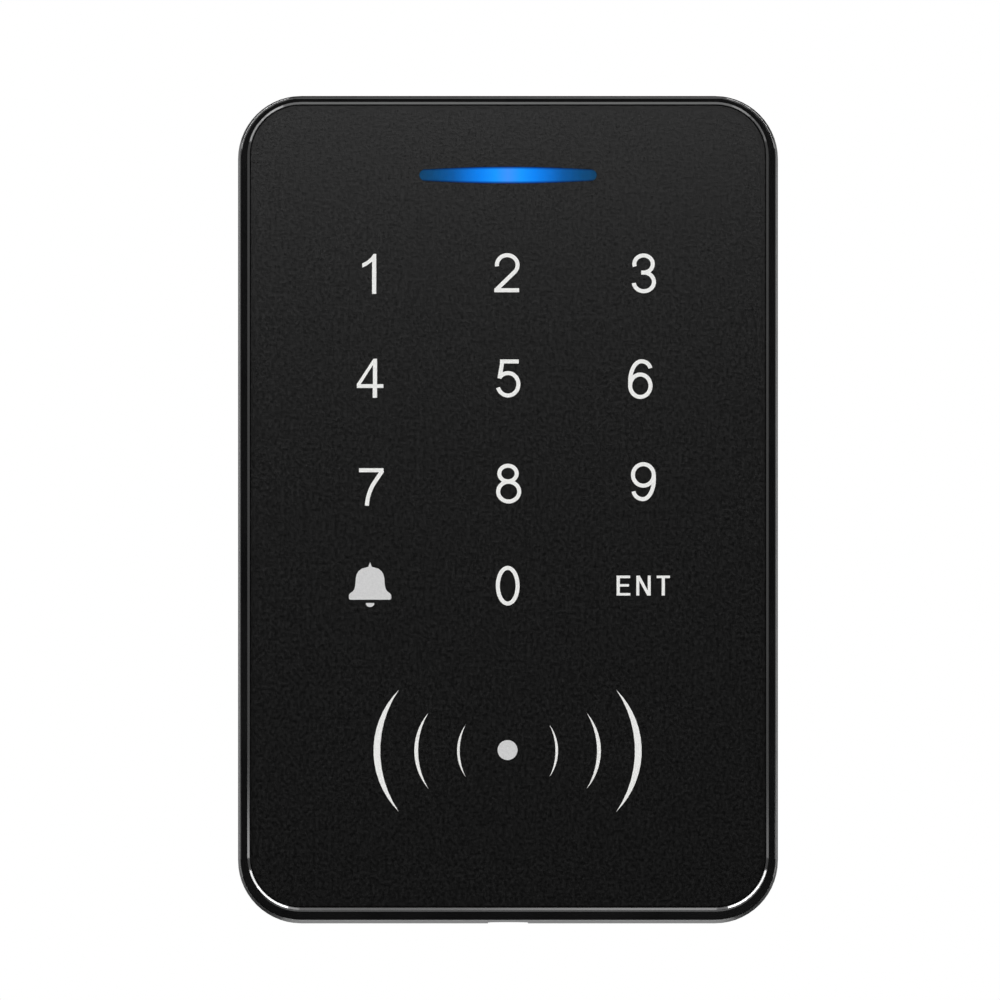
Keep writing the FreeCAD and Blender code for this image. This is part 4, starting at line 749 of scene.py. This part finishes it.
# A narrow strip round the bottom edge, which keeps its outer round black.
FLAG_AHEAD = 0.002
FLAG_GAP = 0.0003
FLAG_WIDE = 0.013
FLAG_STEPS = 19
CORNER_RADIUS = 0.009
flag = bmesh.new()
inner_edge = []
outer_edge = []
for k in range(FLAG_STEPS + 1):
    angle = math.radians(180 + 180 * k / FLAG_STEPS)
    middle = math.copysign(front_high.x - CORNER_RADIUS, math.cos(angle))
    for edge, past in ((inner_edge, FLAG_GAP), (outer_edge, FLAG_WIDE)):
        radius = CORNER_RADIUS + past
        edge.append(flag.verts.new((middle + radius * math.cos(angle), front_low.y - FLAG_AHEAD,
                                    front_low.z + CORNER_RADIUS + radius * math.sin(angle))))
for k in range(FLAG_STEPS):
    flag.faces.new((inner_edge[k], inner_edge[k + 1], outer_edge[k + 1], outer_edge[k]))
put_card("bottom_flag", flag)

# Cards far behind the reader, and hoods above and below, open at both sides.
HOOD_REACH = 1.3
HOOD_FRONT = -0.45
HOOD_STEP = 9
APEX_INSET = 0.0095
apex_x = front_high.x - APEX_INSET
apex_z = front_high.z - APEX_INSET
for name, apexes, start, end in (("top_card", ((-apex_x, apex_z), (apex_x, apex_z)), 18, 162),
                                 ("left_card", ((-apex_x, -apex_z),), 198, 252),
                                 ("right_card", ((apex_x, -apex_z),), 288, 342)):
    back = bmesh.new()
    outline = [(x, HOOD_REACH, z) for x, z in apexes]
    outline += [on_ring(turn, HOOD_REACH, HOOD_REACH) for turn in range(start, end + 1, HOOD_STEP)]
    back.faces.new([back.verts.new(corner) for corner in outline])
    put_card(name, back)
for name, start, end in (("upper_hood", 18, 162), ("lower_hood", 198, 342)):
    hood = bmesh.new()
    front_end = hood.verts.new(on_ring(start, HOOD_REACH, HOOD_FRONT))
    back_end = hood.verts.new(on_ring(start, HOOD_REACH, HOOD_REACH))
    rib = hood.edges.new((front_end, back_end))
    bmesh.ops.spin(hood, geom=[rib, front_end, back_end], cent=(0, 0, 0), axis=(0, -1, 0),
                   angle=math.radians(end - start), steps=(end - start) // HOOD_STEP)
    put_card(name, hood)

FLOOR_DROP = 0.30
FLOOR_REACH = 0.9
FLOOR_GLOW = (0.55, 0.55, 0.55, 1)
disc = bmesh.new()
bmesh.ops.create_circle(disc, cap_ends=True, segments=96, radius=FLOOR_REACH)
bmesh.ops.translate(disc, verts=disc.verts, vec=(0, 0, -FLOOR_DROP))
pale_floor = new_finish("pale_floor", Roughness=0.9, Specular_IOR_Level=0.1)
tint(pale_floor, grain(pale_floor, 0.02), (0.74, 0.74, 0.74), (0.76, 0.76, 0.76))
rays = pale_floor.node_tree.nodes.new("ShaderNodeLightPath")
floor_shader = shader_of(pale_floor)
pale_floor.node_tree.links.new(rays.outputs["Is Camera Ray"], floor_shader.inputs["Emission Strength"])
floor_shader.inputs["Emission Color"].default_value = FLOOR_GLOW
floor = make_piece("floor", disc, pale_floor)
floor.visible_glossy = False

ROOM_LIGHT = 0.35
room = bpy.data.worlds.new("white_room")
bpy.context.scene.world = room
room.use_nodes = True
rays = room.node_tree.nodes.new("ShaderNodeLightPath")
seen = rays.outputs["Is Camera Ray"]
for kind in ("Is Glossy Ray", "Is Transmission Ray"):
    seen = work_out(room, "MAXIMUM", seen, rays.outputs[kind])
air = room.node_tree.nodes["Background"]
air.inputs["Color"].default_value = (1, 1, 1, 1)
room.node_tree.links.new(spread(room, seen, 0.0, 1.0, ROOM_LIGHT, 1.0), air.inputs["Strength"])

VIEW_WIDTH = 0.1426
LOOKS_UP = math.radians(0.6)
STANDS_OFF = 1.4
MIDDLE_X = -0.00114
MIDDLE_Z = 0.00116
eye = bpy.data.cameras.new("camera")
eye.type = "ORTHO"
eye.ortho_scale = VIEW_WIDTH
camera = bpy.data.objects.new("camera", eye)
bpy.context.scene.collection.objects.link(camera)
camera.rotation_euler = (math.pi / 2 + LOOKS_UP, 0, 0)
drop = (STANDS_OFF + front_low.y) * math.tan(LOOKS_UP)
camera.location = (MIDDLE_X, -STANDS_OFF, MIDDLE_Z - drop)
bpy.context.scene.camera = camera
bpy.context.scene.view_settings.view_transform = "Standard"
